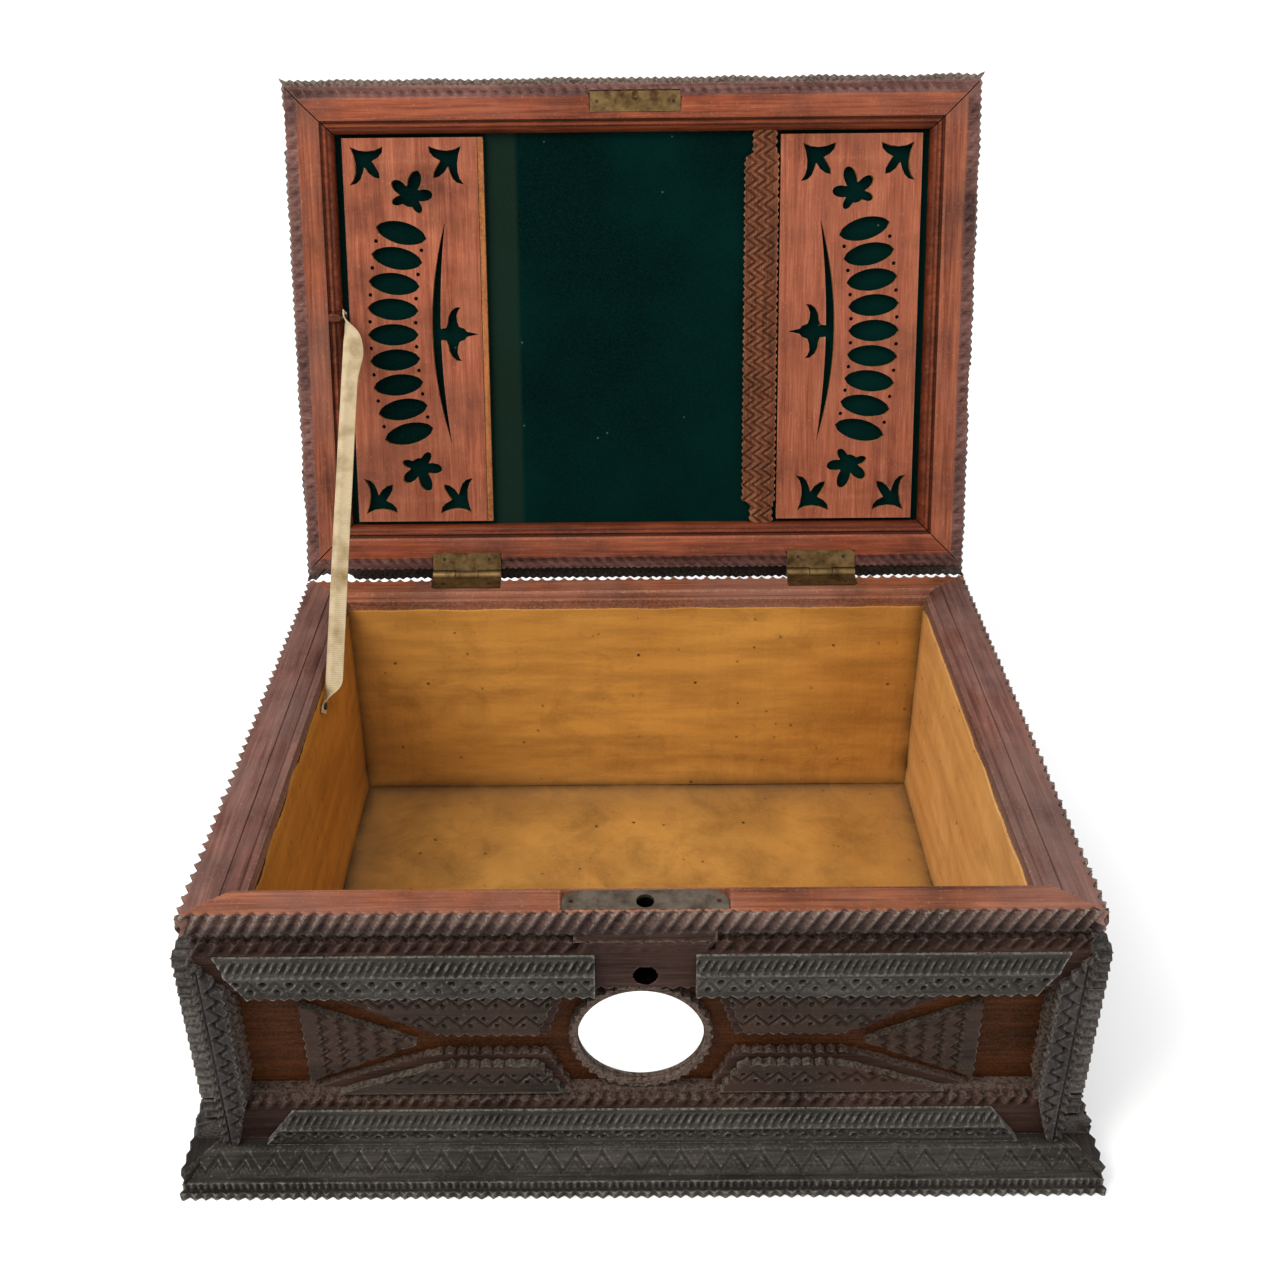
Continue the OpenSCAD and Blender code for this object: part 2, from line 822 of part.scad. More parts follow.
module hinge_leaves_lid() {
    color("#9a8448") opened() difference() {
        for (x = hinge_at) difference() {
            union() {
                leaf(x, case_h + lid_gap);
                knuckle(x - knuckle_l / 2 + play / 2, x + knuckle_l / 2 - play / 2);
            }
            knuckle_room(x - hinge_w, x - knuckle_l / 2 + play / 2);
            knuckle_room(x + knuckle_l / 2 - play / 2, x + hinge_w);
            pin_bore(x);
        }
        leaf_nail_places(case_h - nail_l) cylinder(r = nail_r + hole_fit, h = 2 * rim_t);
    }
}

module hinge_pins() {
    color("#6a6048") for (x = hinge_at)
        translate([x - hinge_w / 2, axis_y, axis_z]) rotate([0, 90, 0]) cylinder(r = pin_r, h = hinge_w);
}

// Lid

module lid_rail(side) {
    translate([0, 0, case_h + lid_z]) difference() {
        linear_extrude(lid_rail_h)
            polygon(toothed(rail(hw, -hd, hd, lid_in_x, -lid_in_y, lid_in_y, side), EDGE1));
        mirror([0, 0, 1]) {
            if (side == 0) translate([0, -lid_in_y, 0]) bevel_wedge();
            if (side == 1) translate([lid_in_x, 0, 0]) rotate(90) bevel_wedge();
            if (side == 2) translate([0, lid_in_y, 0]) rotate(180) bevel_wedge();
            if (side == 3) translate([-lid_in_x, 0, 0]) rotate(-90) bevel_wedge();
        }
    }
}

module strike_slab(c) {
    translate([lock_x - strike_w / 2 - c, lock_y - link_r - link_edge - c, case_h + lid_gap])
        cube([strike_w + 2 * c, strike_d + 2 * c, lock_plate_t + c]);
}

module strike_nail_places() {
    for (s = [-1, 1])
        translate([lock_x + s * (strike_w / 2 - nail_edge), lock_y - link_r - link_edge + strike_d / 2,
                   case_h + lid_gap]) children();
}

module lid_rail_front() {
    color("#8a4a2c") opened() difference() {
        lid_rail(0);
        strike_slab(fit);
        strike_nail_places() cylinder(r = nail_r + hole_fit, h = nail_l);
    }
}

module lid_rail_back() {
    color("#8a4a2c") opened() difference() {
        lid_rail(2);
        for (x = hinge_at)
            translate([x - hinge_w / 2 - fit, hd - leaf_d, case_h + lid_gap - eps])
                cube([hinge_w + 2 * fit, 2 * leaf_d, leaf_t + eps]);
        leaf_nail_places(case_h + lid_gap) cylinder(r = nail_r + hole_fit, h = nail_l);
    }
}

// Nail that holds the stay to the left lid rail, in the closed lid
module lid_tape_nail(r, x0, x1) {
    translate([x0, axis_y - u_lid, axis_z + tape_v]) rotate([0, 90, 0]) cylinder(r = r, h = x1 - x0);
}

module lid_rail_left() {
    color("#8a4a2c") opened() difference() {
        lid_rail(3);
        lid_tape_nail(nail_r + hole_fit, -lid_in_x - nail_l, 0);
    }
}

module lid_rail_right() {
    color("#8a4a2c") opened() lid_rail(1);
}

module lid_slab(inset, inset_back, z, t) {
    x = hw - inset;
    translate([0, 0, case_h + z]) linear_extrude(t)
        polygon(toothed(rect(-x, inset - hd, x, hd - inset_back), ALL4));
}

module lid_board() {
    color("#54403c") opened() lid_slab(-lid_over, -lid_over_back, board_z, lid_board_t);
}

module lid_layer_lower() {
    color("#4d4240") opened() lid_slab(lid_step / 2, lid_step / 2, layer_a_z, lid_layer_t);
}

module lid_layer_upper() {
    color("#4a4644") opened() lid_slab(lid_step * 1.5, lid_step * 1.5, layer_b_z, lid_layer_t);
}

module lid_ornament() {
    x = hw - 4 * lid_step;
    y = hd - 4 * lid_step;
    color("#4a4644") opened() translate([0, 0, case_h + ornament_z]) linear_extrude(lid_layer_t)
        blunt_lozenge(x, y);
}

module velvet_panel() {
    color("#0e3a34") opened() translate([0, 0, velvet_z]) linear_extrude(board_z - lid_recess)
        polygon(rect(-lid_in_x, -lid_in_y, lid_in_x, lid_in_y));
}

// Pierced motifs, in the plane of the panel

// A pointed leaf from the origin along +X
module leaf_shape(l, w) {
    polygon([[0, 0], [0.3 * l, -w / 2], [0.6 * l, -0.42 * w], [l, 0], [0.6 * l, 0.42 * w], [0.3 * l, w / 2]]);
}

// Three leaves that open along +X, the side ones turned by a
module three_leaves(l, w, a) {
    back = w / 3;
    translate([-back, 0]) leaf_shape(l, w);
    for (s = [-1, 1]) rotate(s * a) translate([-back, 0]) leaf_shape(0.75 * l, 0.8 * w);
}

// Bow of pointed ovals with leafy ends, outer side towards -X
module bow() {
    translate([bow_x + bow_r, 0]) {
        for (i = [-bow_n : bow_n])
            rotate(180 + i * bow_turn) translate([bow_r - oval_l / 2, 0]) leaf_shape(oval_l, oval_w);
        for (s = [-1, 1])
            rotate(180 + s * bow_turn * (bow_n + 1)) translate([bow_r, 0]) rotate(s * 90)
                three_leaves(bow_tip_l, oval_w, 65);
    }
}

// Crescent with a three-leaved tip
module crescent() {
    h = crescent_l / 2;
    rise = crescent_r - sqrt(crescent_r * crescent_r - h * h);
    back = rise - crescent_w;
    inner_r = (h * h + back * back) / (2 * back);
    translate([crescent_x, 0]) {
        intersection() {
            difference() {
                translate([crescent_r, 0]) circle(crescent_r, $fn = 180);
                translate([inner_r + crescent_w, 0]) circle(inner_r, $fn = 180);
            }
            square([crescent_r, crescent_l], center = true);
        }
        translate([crescent_w, 0]) three_leaves(crescent_tip_l, crescent_w, 55);
    }
}

module fret_motifs() {
    bow();
    crescent();
    for (s = [-1, 1], t = [-1, 1])
        translate([s * (fret_w / 2 - sprig_edge), t * (lid_in_y - sprig_edge)])
            rotate(atan2(-t, -s)) three_leaves(sprig_l, sprig_w, 50);
}

module fret_panel() {
    translate([-fret_x - fret_w / 2, 0, velvet_z - fret_t]) linear_extrude(fret_t) difference() {
        polygon(rect(-fret_w / 2, -lid_in_y, fret_w / 2, lid_in_y));
        fret_motifs();
    }
}

module fret_left() {
    color("#b5683c") opened() fret_panel();
}

module fret_right() {
    color("#b5683c") opened() mirror([1, 0, 0]) fret_panel();
}

module carved_strip() {
    color("#7a4630") opened() translate([0, 0, velvet_z - fret_t]) linear_extrude(fret_t)
        polygon(toothed(rect(fret_x - strip_w - strip_gap, -lid_in_y, fret_x - strip_gap, lid_in_y),
                        [false, true, false, true]));
}

module strike_plate() {
    color("#9a8448") opened() difference() {
        union() {
            strike_slab(0);
            translate([lock_x, lock_y, link_bottom]) cylinder(r = link_r, h = link_l + lid_gap + eps);
        }
        translate([lock_x - 2 * link_r, lock_y - slot_w / 2, bolt_z - (slot_h - bolt_h) / 2])
            cube([4 * link_r, slot_w, slot_h]);
        strike_nail_places() cylinder(r = nail_r + hole_fit, h = nail_l);
    }
}

// Nails

module case_nails() {
    color("#4a4238") {
        lock_nail_places() cylinder(r = nail_r, h = nail_l);
        leaf_nail_places(case_h - nail_l) cylinder(r = nail_r, h = nail_l);
        translate([-in_x - nail_l, tape_low[0], tape_low[1]]) rotate([0, 90, 0])
            cylinder(r = nail_r, h = nail_l + lining_t + tape_t);
        translate([tape_x + tape_t, tape_low[0], tape_low[1]]) rotate([0, 90, 0])
            cylinder(r = nail_head_r, h = nail_r);
    }
}

module lid_nails() {
    color("#4a4238") opened() {
        leaf_nail_places(case_h + lid_gap) cylinder(r = nail_r, h = nail_l);
        strike_nail_places() cylinder(r = nail_r, h = nail_l);
        lid_tape_nail(nail_r, -lid_in_x - nail_l, tape_x + tape_t);
        lid_tape_nail(nail_head_r, tape_x + tape_t, tape_x + tape_t + nail_r);
    }
}

// Stay, a folded cotton tape drawn taut by the open lid

module stay_tape() {
    run = tape_high - tape_low;
    color("#e8ddc4") translate([tape_x, tape_low[0], tape_low[1]])
        rotate([atan2(run[1], run[0]), 0, 0]) difference() {
            translate([0, -tape_end, -tape_w / 2]) cube([tape_t, norm(run) + 2 * tape_end, tape_w]);
            for (l = [0, norm(run)]) translate([-tape_t, l, 0]) rotate([0, 90, 0])
                cylinder(r = nail_r + hole_fit, h = 3 * tape_t);
        }
}

bottom_board();
front_wall();
back_wall();
left_wall();
right_wall();
rim_front();
rim_back();
rim_left();
rim_right();
lining_front();
lining_back();
lining_left();
lining_right();
lining_floor();
plinth_front();
plinth_back();
plinth_left();
plinth_right();
plinth_steps();
front_frame_lower();
front_frame_upper();
top_bar_left();
top_bar_right();
bottom_bar();
post_left();
post_right();
triangle_left();
triangle_right();
trapezoids_lower();
trapezoids_upper();
mirror_disc();  // mirror
mirror_ring();
left_frame();
left_ornament();
right_frame();
right_ornament();
back_frame();
back_ornament();
lock_case();
lock_plate();
lock_bolt();
hinge_leaves_case();
hinge_pins();
case_nails();
lid_rail_front();
lid_rail_back();
lid_rail_left();
lid_rail_right();
lid_board();
lid_layer_lower();
lid_layer_upper();
lid_ornament();
velvet_panel();
fret_left();
fret_right();
carved_strip();
strike_plate();
hinge_leaves_lid();
lid_nails();
stay_tape();
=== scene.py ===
"""Looks of a chip-carved box: dark layered wood, pierced lid panels, velvet, ochre lining and a cotton stay."""
import json
import logging
import math
from dataclasses import dataclass, field
from enum import Enum
from functools import partial
from typing import Callable, Protocol, Sequence, Union

import bpy
import numpy as np
from mathutils import Matrix, Vector, noise


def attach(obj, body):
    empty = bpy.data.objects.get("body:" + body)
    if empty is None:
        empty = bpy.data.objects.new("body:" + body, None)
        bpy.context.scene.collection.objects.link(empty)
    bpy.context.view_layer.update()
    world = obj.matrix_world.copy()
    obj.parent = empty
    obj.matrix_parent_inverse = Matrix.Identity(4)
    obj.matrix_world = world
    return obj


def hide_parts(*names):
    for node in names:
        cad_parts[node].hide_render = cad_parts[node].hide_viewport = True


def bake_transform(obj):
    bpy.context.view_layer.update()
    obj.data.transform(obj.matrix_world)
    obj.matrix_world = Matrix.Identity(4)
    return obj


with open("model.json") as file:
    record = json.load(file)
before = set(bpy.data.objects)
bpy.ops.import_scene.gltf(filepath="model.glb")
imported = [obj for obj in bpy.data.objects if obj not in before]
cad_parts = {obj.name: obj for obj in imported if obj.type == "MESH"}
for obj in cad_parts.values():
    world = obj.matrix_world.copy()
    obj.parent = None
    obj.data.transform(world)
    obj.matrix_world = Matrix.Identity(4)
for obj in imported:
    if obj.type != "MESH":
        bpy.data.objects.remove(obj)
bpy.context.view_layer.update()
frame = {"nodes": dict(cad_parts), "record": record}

MM = 0.001
LOG = logging.getLogger("box")
Array = np.ndarray
Material = bpy.types.Material
Piece = bpy.types.Object
Socket = bpy.types.NodeSocket
Inputs = dict[Union[int, str], Union[Socket, float, str, tuple]]
Adder = Callable[..., Socket]
Point = tuple[float, float, float]
JOINTS = {joint["name"]: joint for joint in frame["record"]["behaviour"]["joints"]}
HINGE = np.array(JOINTS["lid_hinge"]["pos_m"]) / MM
OPEN_ANGLE = math.radians(JOINTS["lid_hinge"]["range_deg"][1])
# Turn that lays the open lid's own axes back along X, Y and Z
LID_TURN = (OPEN_ANGLE, 0.0, 0.0)
RIGHT, BACK, UP = (1, 0, 0), (0, 1, 0), (0, 0, 1)
LEFT, FRONT, DOWN = (-1, 0, 0), (0, -1, 0), (0, 0, -1)
SIDES = ("front", "right", "back", "left")


class Body(str, Enum):
    """Rigid bodies that pieces ride on."""

    CASE = "case"
    LID = "lid"


class Grain(Enum):
    """Direction in which the grain runs."""

    ALONG_X = "x"
    ALONG_Y = "y"
    ALONG_Z = "z"
    UP_LID = "lid"


# Colours and nodes

PLACE, MAPPING, SPLIT = "ShaderNodeTexCoord", "ShaderNodeMapping", "ShaderNodeSeparateXYZ"
NOISE, CELLS, WAVE = "ShaderNodeTexNoise", "ShaderNodeTexVoronoi", "ShaderNodeTexWave"
MATH, RANGE, RAMP, MIX, BUMP = ("ShaderNodeMath", "ShaderNodeMapRange", "ShaderNodeValToRGB", "ShaderNodeMix",
                                "ShaderNodeBump")
TIMES, PLUS, LARGER = ({"operation": how} for how in ("MULTIPLY", "ADD", "MAXIMUM"))
# Inputs and output of a mix of two colours
A, B, MIXED, COLOURS = 6, 7, 2, {"data_type": "RGBA"}


def linear(code: str) -> tuple[float, float, float, float]:
    """Turn an sRGB hex colour into a linear one.

    Args:
        code: colour such as "#8a4a2c".

    Returns:
        Linear red, green, blue and an alpha of 1.
    """
    parts = [int(code[i:i + 2], 16) / 255 for i in (1, 3, 5)]
    return (*(c / 12.92 if c <= 0.04045 else ((c + 0.055) / 1.055) ** 2.4 for c in parts), 1.0)


def per(size_mm: float) -> float:
    """Scale of a pattern whose features are a real size in millimetres."""
    return 1 / (size_mm * MM)


def plug(node: bpy.types.Node, inputs: Inputs) -> None:
    """Link or set a node's inputs; a text is a hex colour.

    Args:
        node: node to fill.
        inputs: input name or number, with its socket or value.
    """
    for key, value in inputs.items():
        if isinstance(value, Socket):
            node.id_data.links.new(value, node.inputs[key])
        else:
            node.inputs[key].default_value = linear(value) if isinstance(value, str) else value


def add_node(tree: bpy.types.NodeTree, kind: str, inputs: Inputs | None = None, out: int | str = 0,
             **settings: object) -> Socket:
    """Add one node with its settings and links.

    Args:
        tree: node tree to add to.
        kind: Blender's name of the node.
        inputs: input name or number, with a socket to link or a value to set.
        out: name or number of the output that is wanted.
        settings: the node's own properties; ramp is a list of place and hex colour.

    Returns:
        That output of the new node.
    """
    made = tree.nodes.new(kind)
    for key, value in settings.items():
        if key == "ramp":
            stops = made.color_ramp.elements
            while len(stops) < len(value):
                stops.new(1.0)
            for stop, (place, code) in zip(stops, value):
                stop.position = place
                stop.color = linear(code)
        else:
            setattr(made, key, value)
    plug(made, inputs or {})
    return made.outputs[out]


def start_material(name: str) -> tuple[Material, Adder, bpy.types.Node]:
    """Make a material and return it with what adds nodes to it and its shader.

    Args:
        name: name of the material.

    Returns:
        The material, its adder and its shader.
    """
    material = bpy.data.materials.new(name)
    material.use_nodes = True
    tree = material.node_tree
    return material, partial(add_node, tree), tree.nodes["Principled BSDF"]


# Finishes


class Finish(Protocol):
    """Anything that makes a material."""

    def make(self) -> Material:
        """Build the material."""


@dataclass(frozen=True)
class Wood:
    """Sawn and carved softwood: streaks along the grain, worn arrises, and dirt and painted shade in the cuts.

    The streaks are noise drawn out along the grain. How far a place bulges tells the worn arrises from the cuts,
    which are darkened with dirt and painted shade.
    """

    name: str
    dark: str
    mid: str
    light: str
    worn: str
    # Colour of the dirt and painted shade in the cuts, and of the painted shade of the fade
    dirt: str
    grain: Grain = Grain.ALONG_X
    grain_mm: float = 0.9
    draw_out: float = 26.0
    blotch_mm: float = 34.0
    veil_mm: float = 75.0
    speck_mm: float = 1.1
    rough: float = 0.55
    worn_amount: float = 0.6
    cut_dirt_and_shade: float = 0.7
    speck_amount: float = 0.3
    coat: float = 0.0
    bump: float = 0.25
    shine: float = 0.12
    dust: str = "#6f5b55"
    dust_amount: float = 0.0
    # Heights over which painted shade darkens the face towards the bottom
    fade: tuple[float, float] | None = None

    def make(self) -> Material:
        """Build the material.

        Returns:
            The finished material.
        """
        material, add, shader = start_material(self.name)
        place = add(PLACE, out="Object")
        across, along = per(self.grain_mm), per(self.grain_mm * self.draw_out)
        scale = {Grain.ALONG_X: (along, across, across), Grain.ALONG_Z: (across, across, along)}
        turn = LID_TURN if self.grain is Grain.UP_LID else (0.0, 0.0, 0.0)
        turned = add(MAPPING, {"Vector": place, "Rotation": turn})
        drawn = add(MAPPING, {"Vector": turned, "Scale": scale.get(self.grain, (across, along, across))})
        streak = add(NOISE, {"Vector": drawn, "Scale": 1.0, "Detail": 5.0, "Roughness": 0.62, "Distortion": 0.4})
        broad = add(NOISE, {"Vector": drawn, "Scale": 0.22, "Detail": 3.0, "Roughness": 0.5, "Distortion": 0.8})
        blotch = add(NOISE, {"Vector": place, "Scale": per(self.blotch_mm), "Detail": 4.0, "Roughness": 0.6})
        veil = add(NOISE, {"Vector": place, "Scale": per(self.veil_mm), "Detail": 5.0, "Roughness": 0.65})
        speck = add(NOISE, {"Vector": place, "Scale": per(self.speck_mm), "Detail": 3.0, "Roughness": 0.7})
        tone = add(MATH, {0: add(MATH, {0: streak, 1: 0.55}, **TIMES), 1: add(MATH, {0: broad, 1: 0.45}, **TIMES)},
                   **PLUS)
        colour = add(RAMP, {0: tone}, ramp=[(0.34, self.dark), (0.5, self.mid), (0.64, self.light)])
        shade = add(RAMP, {0: blotch}, ramp=[(0.3, "#8a8a8a"), (0.55, "#ffffff"), (0.75, "#d8d8d8")])
        colour = add(MIX, {0: 0.75, A: colour, B: shade}, MIXED, **COLOURS, blend_type="MULTIPLY")
        form = add("ShaderNodeNewGeometry", out="Pointiness")
        rubbed = add(MATH, {0: add(RANGE, {0: form, 1: 0.515, 2: 0.58}),
                            1: add(RANGE, {0: speck, 1: 0.36, 2: 0.6})}, **TIMES)
        # Dust, specks and worn arrises, then the cuts darkened with dirt and painted shade
        layers = [(add(RANGE, {0: veil, 1: 0.42, 2: 0.62}), self.dust_amount, self.dust),
                  (add(RANGE, {0: speck, 1: 0.6, 2: 0.72}), self.speck_amount, self.worn),
                  (rubbed, self.worn_amount, self.worn),
                  (add(RANGE, {0: form, 1: 0.49, 2: 0.42}), self.cut_dirt_and_shade, self.dirt)]
        # Painted shade: darker towards the bottom of the face, under the notched arris
        if self.fade:
            height, (low, high) = add(SPLIT, {0: place}, 2), self.fade
            layers.append((add(RANGE, {0: height, 1: high * MM, 2: low * MM}), 0.8, self.dirt))
        for pattern, amount, tint in layers:
            share = add(MATH, {0: pattern, 1: amount}, **TIMES)
            colour = add(MIX, {0: share, A: colour, B: tint}, MIXED, **COLOURS)
        relief = add(MATH, {0: tone, 1: add(MATH, {0: speck, 1: 0.5}, **TIMES)}, **PLUS)
        plug(shader, {
            "Base Color": colour, "Specular IOR Level": self.shine, "Coat Weight": self.coat, "Coat Roughness": 0.3,
            "Roughness": add(RANGE, {0: tone, 1: 0.3, 2: 0.7, 3: self.rough + 0.1, 4: self.rough - 0.1}),
            "Normal": add(BUMP, {"Height": relief, "Strength": self.bump, "Distance": 0.4 * MM})})
        return material


@dataclass(frozen=True)
class Velvet:
    """Cut-pile cotton velvet: deep colour, a dull nap, lint and a faded band.

    The pile is drawn several times as coarse as it is, so that it shows.
    """

    name: str = "cotton_velvet"
    deep: str = "#010f0e"
    nap: str = "#03231f"
    faded: str = "#1c2a20"
    lint: str = "#5d6c64"
    band: tuple[float, float] = (-63.0, -52.0)
    brush_mm: float = 60.0
    pile_mm: float = 0.7
    lint_mm: float = 13.0

    def make(self) -> Material:
        """Build the material.

        Returns:
            The finished material.
        """
        material, add, shader = start_material(self.name)
        place = add(PLACE, out="Object")
        brushed = add(NOISE, {"Vector": place, "Scale": per(self.brush_mm), "Detail": 5.0})
        pile = add(NOISE, {"Vector": place, "Scale": per(self.pile_mm), "Detail": 2.0})
        lint = add(CELLS, {"Vector": place, "Scale": per(self.lint_mm), "Randomness": 1.0}, "Distance")
        share = add(RANGE, {0: brushed, 1: 0.35, 2: 0.75})
        colour = add(MIX, {0: share, A: self.deep, B: self.nap}, MIXED, **COLOURS)
        colour = add(MIX, {0: add(RANGE, {0: pile, 1: 0.35, 2: 0.9}), A: colour, B: self.nap}, MIXED, **COLOURS)
        x = add(SPLIT, {0: place})
        left, right = (edge * MM for edge in self.band)
        band = add(MATH, {0: add(RANGE, {0: x, 1: left - 2 * MM, 2: left}),
                          1: add(RANGE, {0: x, 1: right + 2 * MM, 2: right})}, **TIMES)
        colour = add(MIX, {0: add(MATH, {0: band, 1: 0.55}, **TIMES), A: colour, B: self.faded}, MIXED, **COLOURS)
        flecks = add(MATH, {0: add(RANGE, {0: lint, 1: 0.045, 2: 0.02}), 1: 0.5}, **TIMES)
        colour = add(MIX, {0: flecks, A: colour, B: self.lint}, MIXED, **COLOURS)
        plug(shader, {"Base Color": colour, "Roughness": 1.0, "Specular IOR Level": 0.02, "Sheen Weight": 0.02,
                      "Sheen Roughness": 0.4, "Sheen Tint": "#2f8f7f",
                      "Normal": add(BUMP, {"Height": pile, "Strength": 0.5, "Distance": 0.5 * MM})})
        return material


@dataclass(frozen=True)
class Lining:
    """Glazed ochre paper on card: even colour, brown stains, foxing specks and fine creases.

    The fibres are drawn coarser than they are, so that they show.
    """

    name: str = "ochre_paper"
    pale: str = "#cf9645"
    mid: str = "#b97f36"
    stain: str = "#7d5222"
    speck: str = "#3a2410"
    dust: str = "#86643f"
    stain_low: float = 0.52
    dusty: float = 0.25
    corner: Point = (130.0, 92.0, 13.0)
    reach: float = 9.0
    wide_mm: float = 70.0
    blot_mm: float = 26.0
    fibre_mm: float = 1.4
    fox_mm: float = 9.0
    streak_mm: tuple[float, float] = (55.0, 8.0)
    crease_mm: tuple[float, float] = (7.0, 90.0)

    def make(self) -> Material:
        """Build the material.

        Returns:
            The finished material.
        """
        material, add, shader = start_material(self.name)
        place = add(PLACE, out="Object")
        wide = add(NOISE, {"Vector": place, "Scale": per(self.wide_mm), "Detail": 5.0})
        blot = add(NOISE, {"Vector": place, "Scale": per(self.blot_mm), "Detail": 7.0, "Roughness": 0.68,
                           "Distortion": 0.6})
        fibre = add(NOISE, {"Vector": place, "Scale": per(self.fibre_mm), "Detail": 4.0})
        fox = add(CELLS, {"Vector": place, "Scale": per(self.fox_mm)}, "Distance")
        (long, high), (narrow, tall) = self.streak_mm, self.crease_mm
        level = add(MAPPING, {"Vector": place, "Scale": (per(long), per(long), per(high))})
        wave = add(NOISE, {"Vector": level, "Scale": 1.0, "Detail": 6.0, "Roughness": 0.62})
        fold = add(MAPPING, {"Vector": place, "Scale": (per(narrow), per(narrow), per(tall))})
        crease = add(NOISE, {"Vector": fold, "Scale": 1.0, "Detail": 2.0})
        colour = add(MIX, {0: add(RANGE, {0: wide, 1: 0.3, 2: 0.7}), A: self.mid, B: self.pale}, MIXED, **COLOURS)
        layers = [(wave, 0.42, 0.68, 0.42, self.stain), (wave, 0.5, 0.3, 0.35, self.pale),
                  (blot, self.stain_low, 0.78, 0.6, self.stain), (fibre, 0.5, 0.75, 0.25, self.pale)]
        for pattern, low, high, amount, tint in layers:
            share = add(MATH, {0: add(RANGE, {0: pattern, 1: low, 2: high}), 1: amount}, **TIMES)
            colour = add(MIX, {0: share, A: colour, B: tint}, MIXED, **COLOURS)
        spots = add(MATH, {0: add(RANGE, {0: fox, 1: 0.12, 2: 0.05}), 1: add(RANGE, {0: fibre, 1: 0.42, 2: 0.56})},
                    **TIMES)
        veil = add(MATH, {0: self.corner_dust_and_shade(add, place, blot, 4.0), 1: self.dusty}, **TIMES)
        # A narrow band along the corners, darkened with soot and painted shade
        corner_shade = self.corner_dust_and_shade(add, place, blot, 1.0)
        for share, tint in ((spots, self.speck), (veil, self.dust), (corner_shade, self.speck)):
            colour = add(MIX, {0: share, A: colour, B: tint}, MIXED, **COLOURS)
        relief = add(MATH, {0: fibre, 1: add(MATH, {0: crease, 1: 4.0}, **TIMES)}, **PLUS)
        plug(shader, {"Base Color": colour, "Roughness": 0.6, "Specular IOR Level": 0.25,
                      "Normal": add(BUMP, {"Height": relief, "Strength": 0.35, "Distance": 0.5 * MM})})
        return material

    def corner_dust_and_shade(self, add: Adder, place: Socket, blot: Socket, times: float) -> Socket:
        """Give a mask along the case's corners, so many times its usual width, for dust, soot and painted shade.

        Args:
            add: what adds nodes to the material.
            place: object coordinates.
            blot: pattern of the stains.
            times: how many times its usual width.

        Returns:
            The mask.
        """
        reach = self.reach * times
        x, y, z = add(SPLIT, {0: place}).node.outputs
        side = add(RANGE, {0: add(MATH, {0: x}, operation="ABSOLUTE"), 1: (self.corner[0] - reach) * MM,
                           2: self.corner[0] * MM})
        back = add(RANGE, {0: y, 1: (self.corner[1] - reach) * MM, 2: self.corner[1] * MM})
        foot = add(RANGE, {0: z, 1: (self.corner[2] + reach) * MM, 2: self.corner[2] * MM})
        pairs = [add(MATH, {0: a, 1: b}, **TIMES) for a, b in ((side, back), (side, foot), (back, foot))]
        most = add(MATH, {0: add(MATH, {0: pairs[0], 1: pairs[1]}, **LARGER), 1: pairs[2]}, **LARGER)
        sharp = add(MATH, {0: most, 1: 2.2}, operation="POWER")
        return add(MATH, {0: sharp, 1: add(RANGE, {0: blot, 1: 0.1, 2: 0.5})}, **TIMES, use_clamp=True)


@dataclass(frozen=True)
class Metal:
    """Old sheet brass or iron: dull, patchily tarnished, brighter where it rubs."""

    name: str
    bright: str
    tarnish: str
    rough: float = 0.42
    metallic: float = 0.9
    patch_mm: float = 6.0
    grit_mm: float = 0.5

    def make(self) -> Material:
        """Build the material.

        Returns:
            The finished material.
        """
        material, add, shader = start_material(self.name)
        place = add(PLACE, out="Object")
        patch = add(NOISE, {"Vector": place, "Scale": per(self.patch_mm), "Detail": 6.0, "Roughness": 0.65})
        fine = add(NOISE, {"Vector": place, "Scale": per(self.grit_mm), "Detail": 2.0})
        share = add(RANGE, {0: patch, 1: 0.38, 2: 0.66})
        plug(shader, {
            "Base Color": add(MIX, {0: share, A: self.bright, B: self.tarnish}, MIXED, **COLOURS),
            "Metallic": self.metallic,
            "Roughness": add(RANGE, {0: patch, 1: 0.3, 2: 0.7, 3: self.rough - 0.1, 4: self.rough + 0.15}),
            "Normal": add(BUMP, {"Height": fine, "Strength": 0.12, "Distance": 0.2 * MM})})
        return material


@dataclass(frozen=True)
class Tape:
    """Woven cotton tape: cream, a fine rib across it and soiled edges. The rib is drawn at twice its real pitch."""

    name: str = "cotton_tape"
    clean: str = "#b8a686"
    soiled: str = "#80683f"
    rib_mm: float = 0.9
    dirt_mm: float = 9.0

    def make(self) -> Material:
        """Build the material.

        Returns:
            The finished material.
        """
        material, add, shader = start_material(self.name)
        place = add(PLACE, out="Object")
        dirt = add(NOISE, {"Vector": place, "Scale": per(self.dirt_mm), "Detail": 5.0})
        turn = add(MAPPING, {"Vector": place, "Rotation": (math.radians(-45), 0.0, 0.0)})
        # A wave texture repeats 20 times in a turn of 2 pi
        scale = per(self.rib_mm) / 20 * 6.28
        rib = add(WAVE, {"Vector": turn, "Scale": scale, "Distortion": 1.0, "Detail": 1.0}, 1, bands_direction="Y")
        share = add(RANGE, {0: dirt, 1: 0.45, 2: 0.75})
        colour = add(MIX, {0: share, A: self.clean, B: self.soiled}, MIXED, **COLOURS)
        colour = add(MIX, {0: add(MATH, {0: rib, 1: 0.2}, **TIMES), A: colour, B: self.soiled}, MIXED, **COLOURS)
        plug(shader, {"Base Color": colour, "Roughness": 0.95, "Sheen Weight": 0.15,
                      "Normal": add(BUMP, {"Height": rib, "Strength": 0.4, "Distance": 0.2 * MM})})
        return material


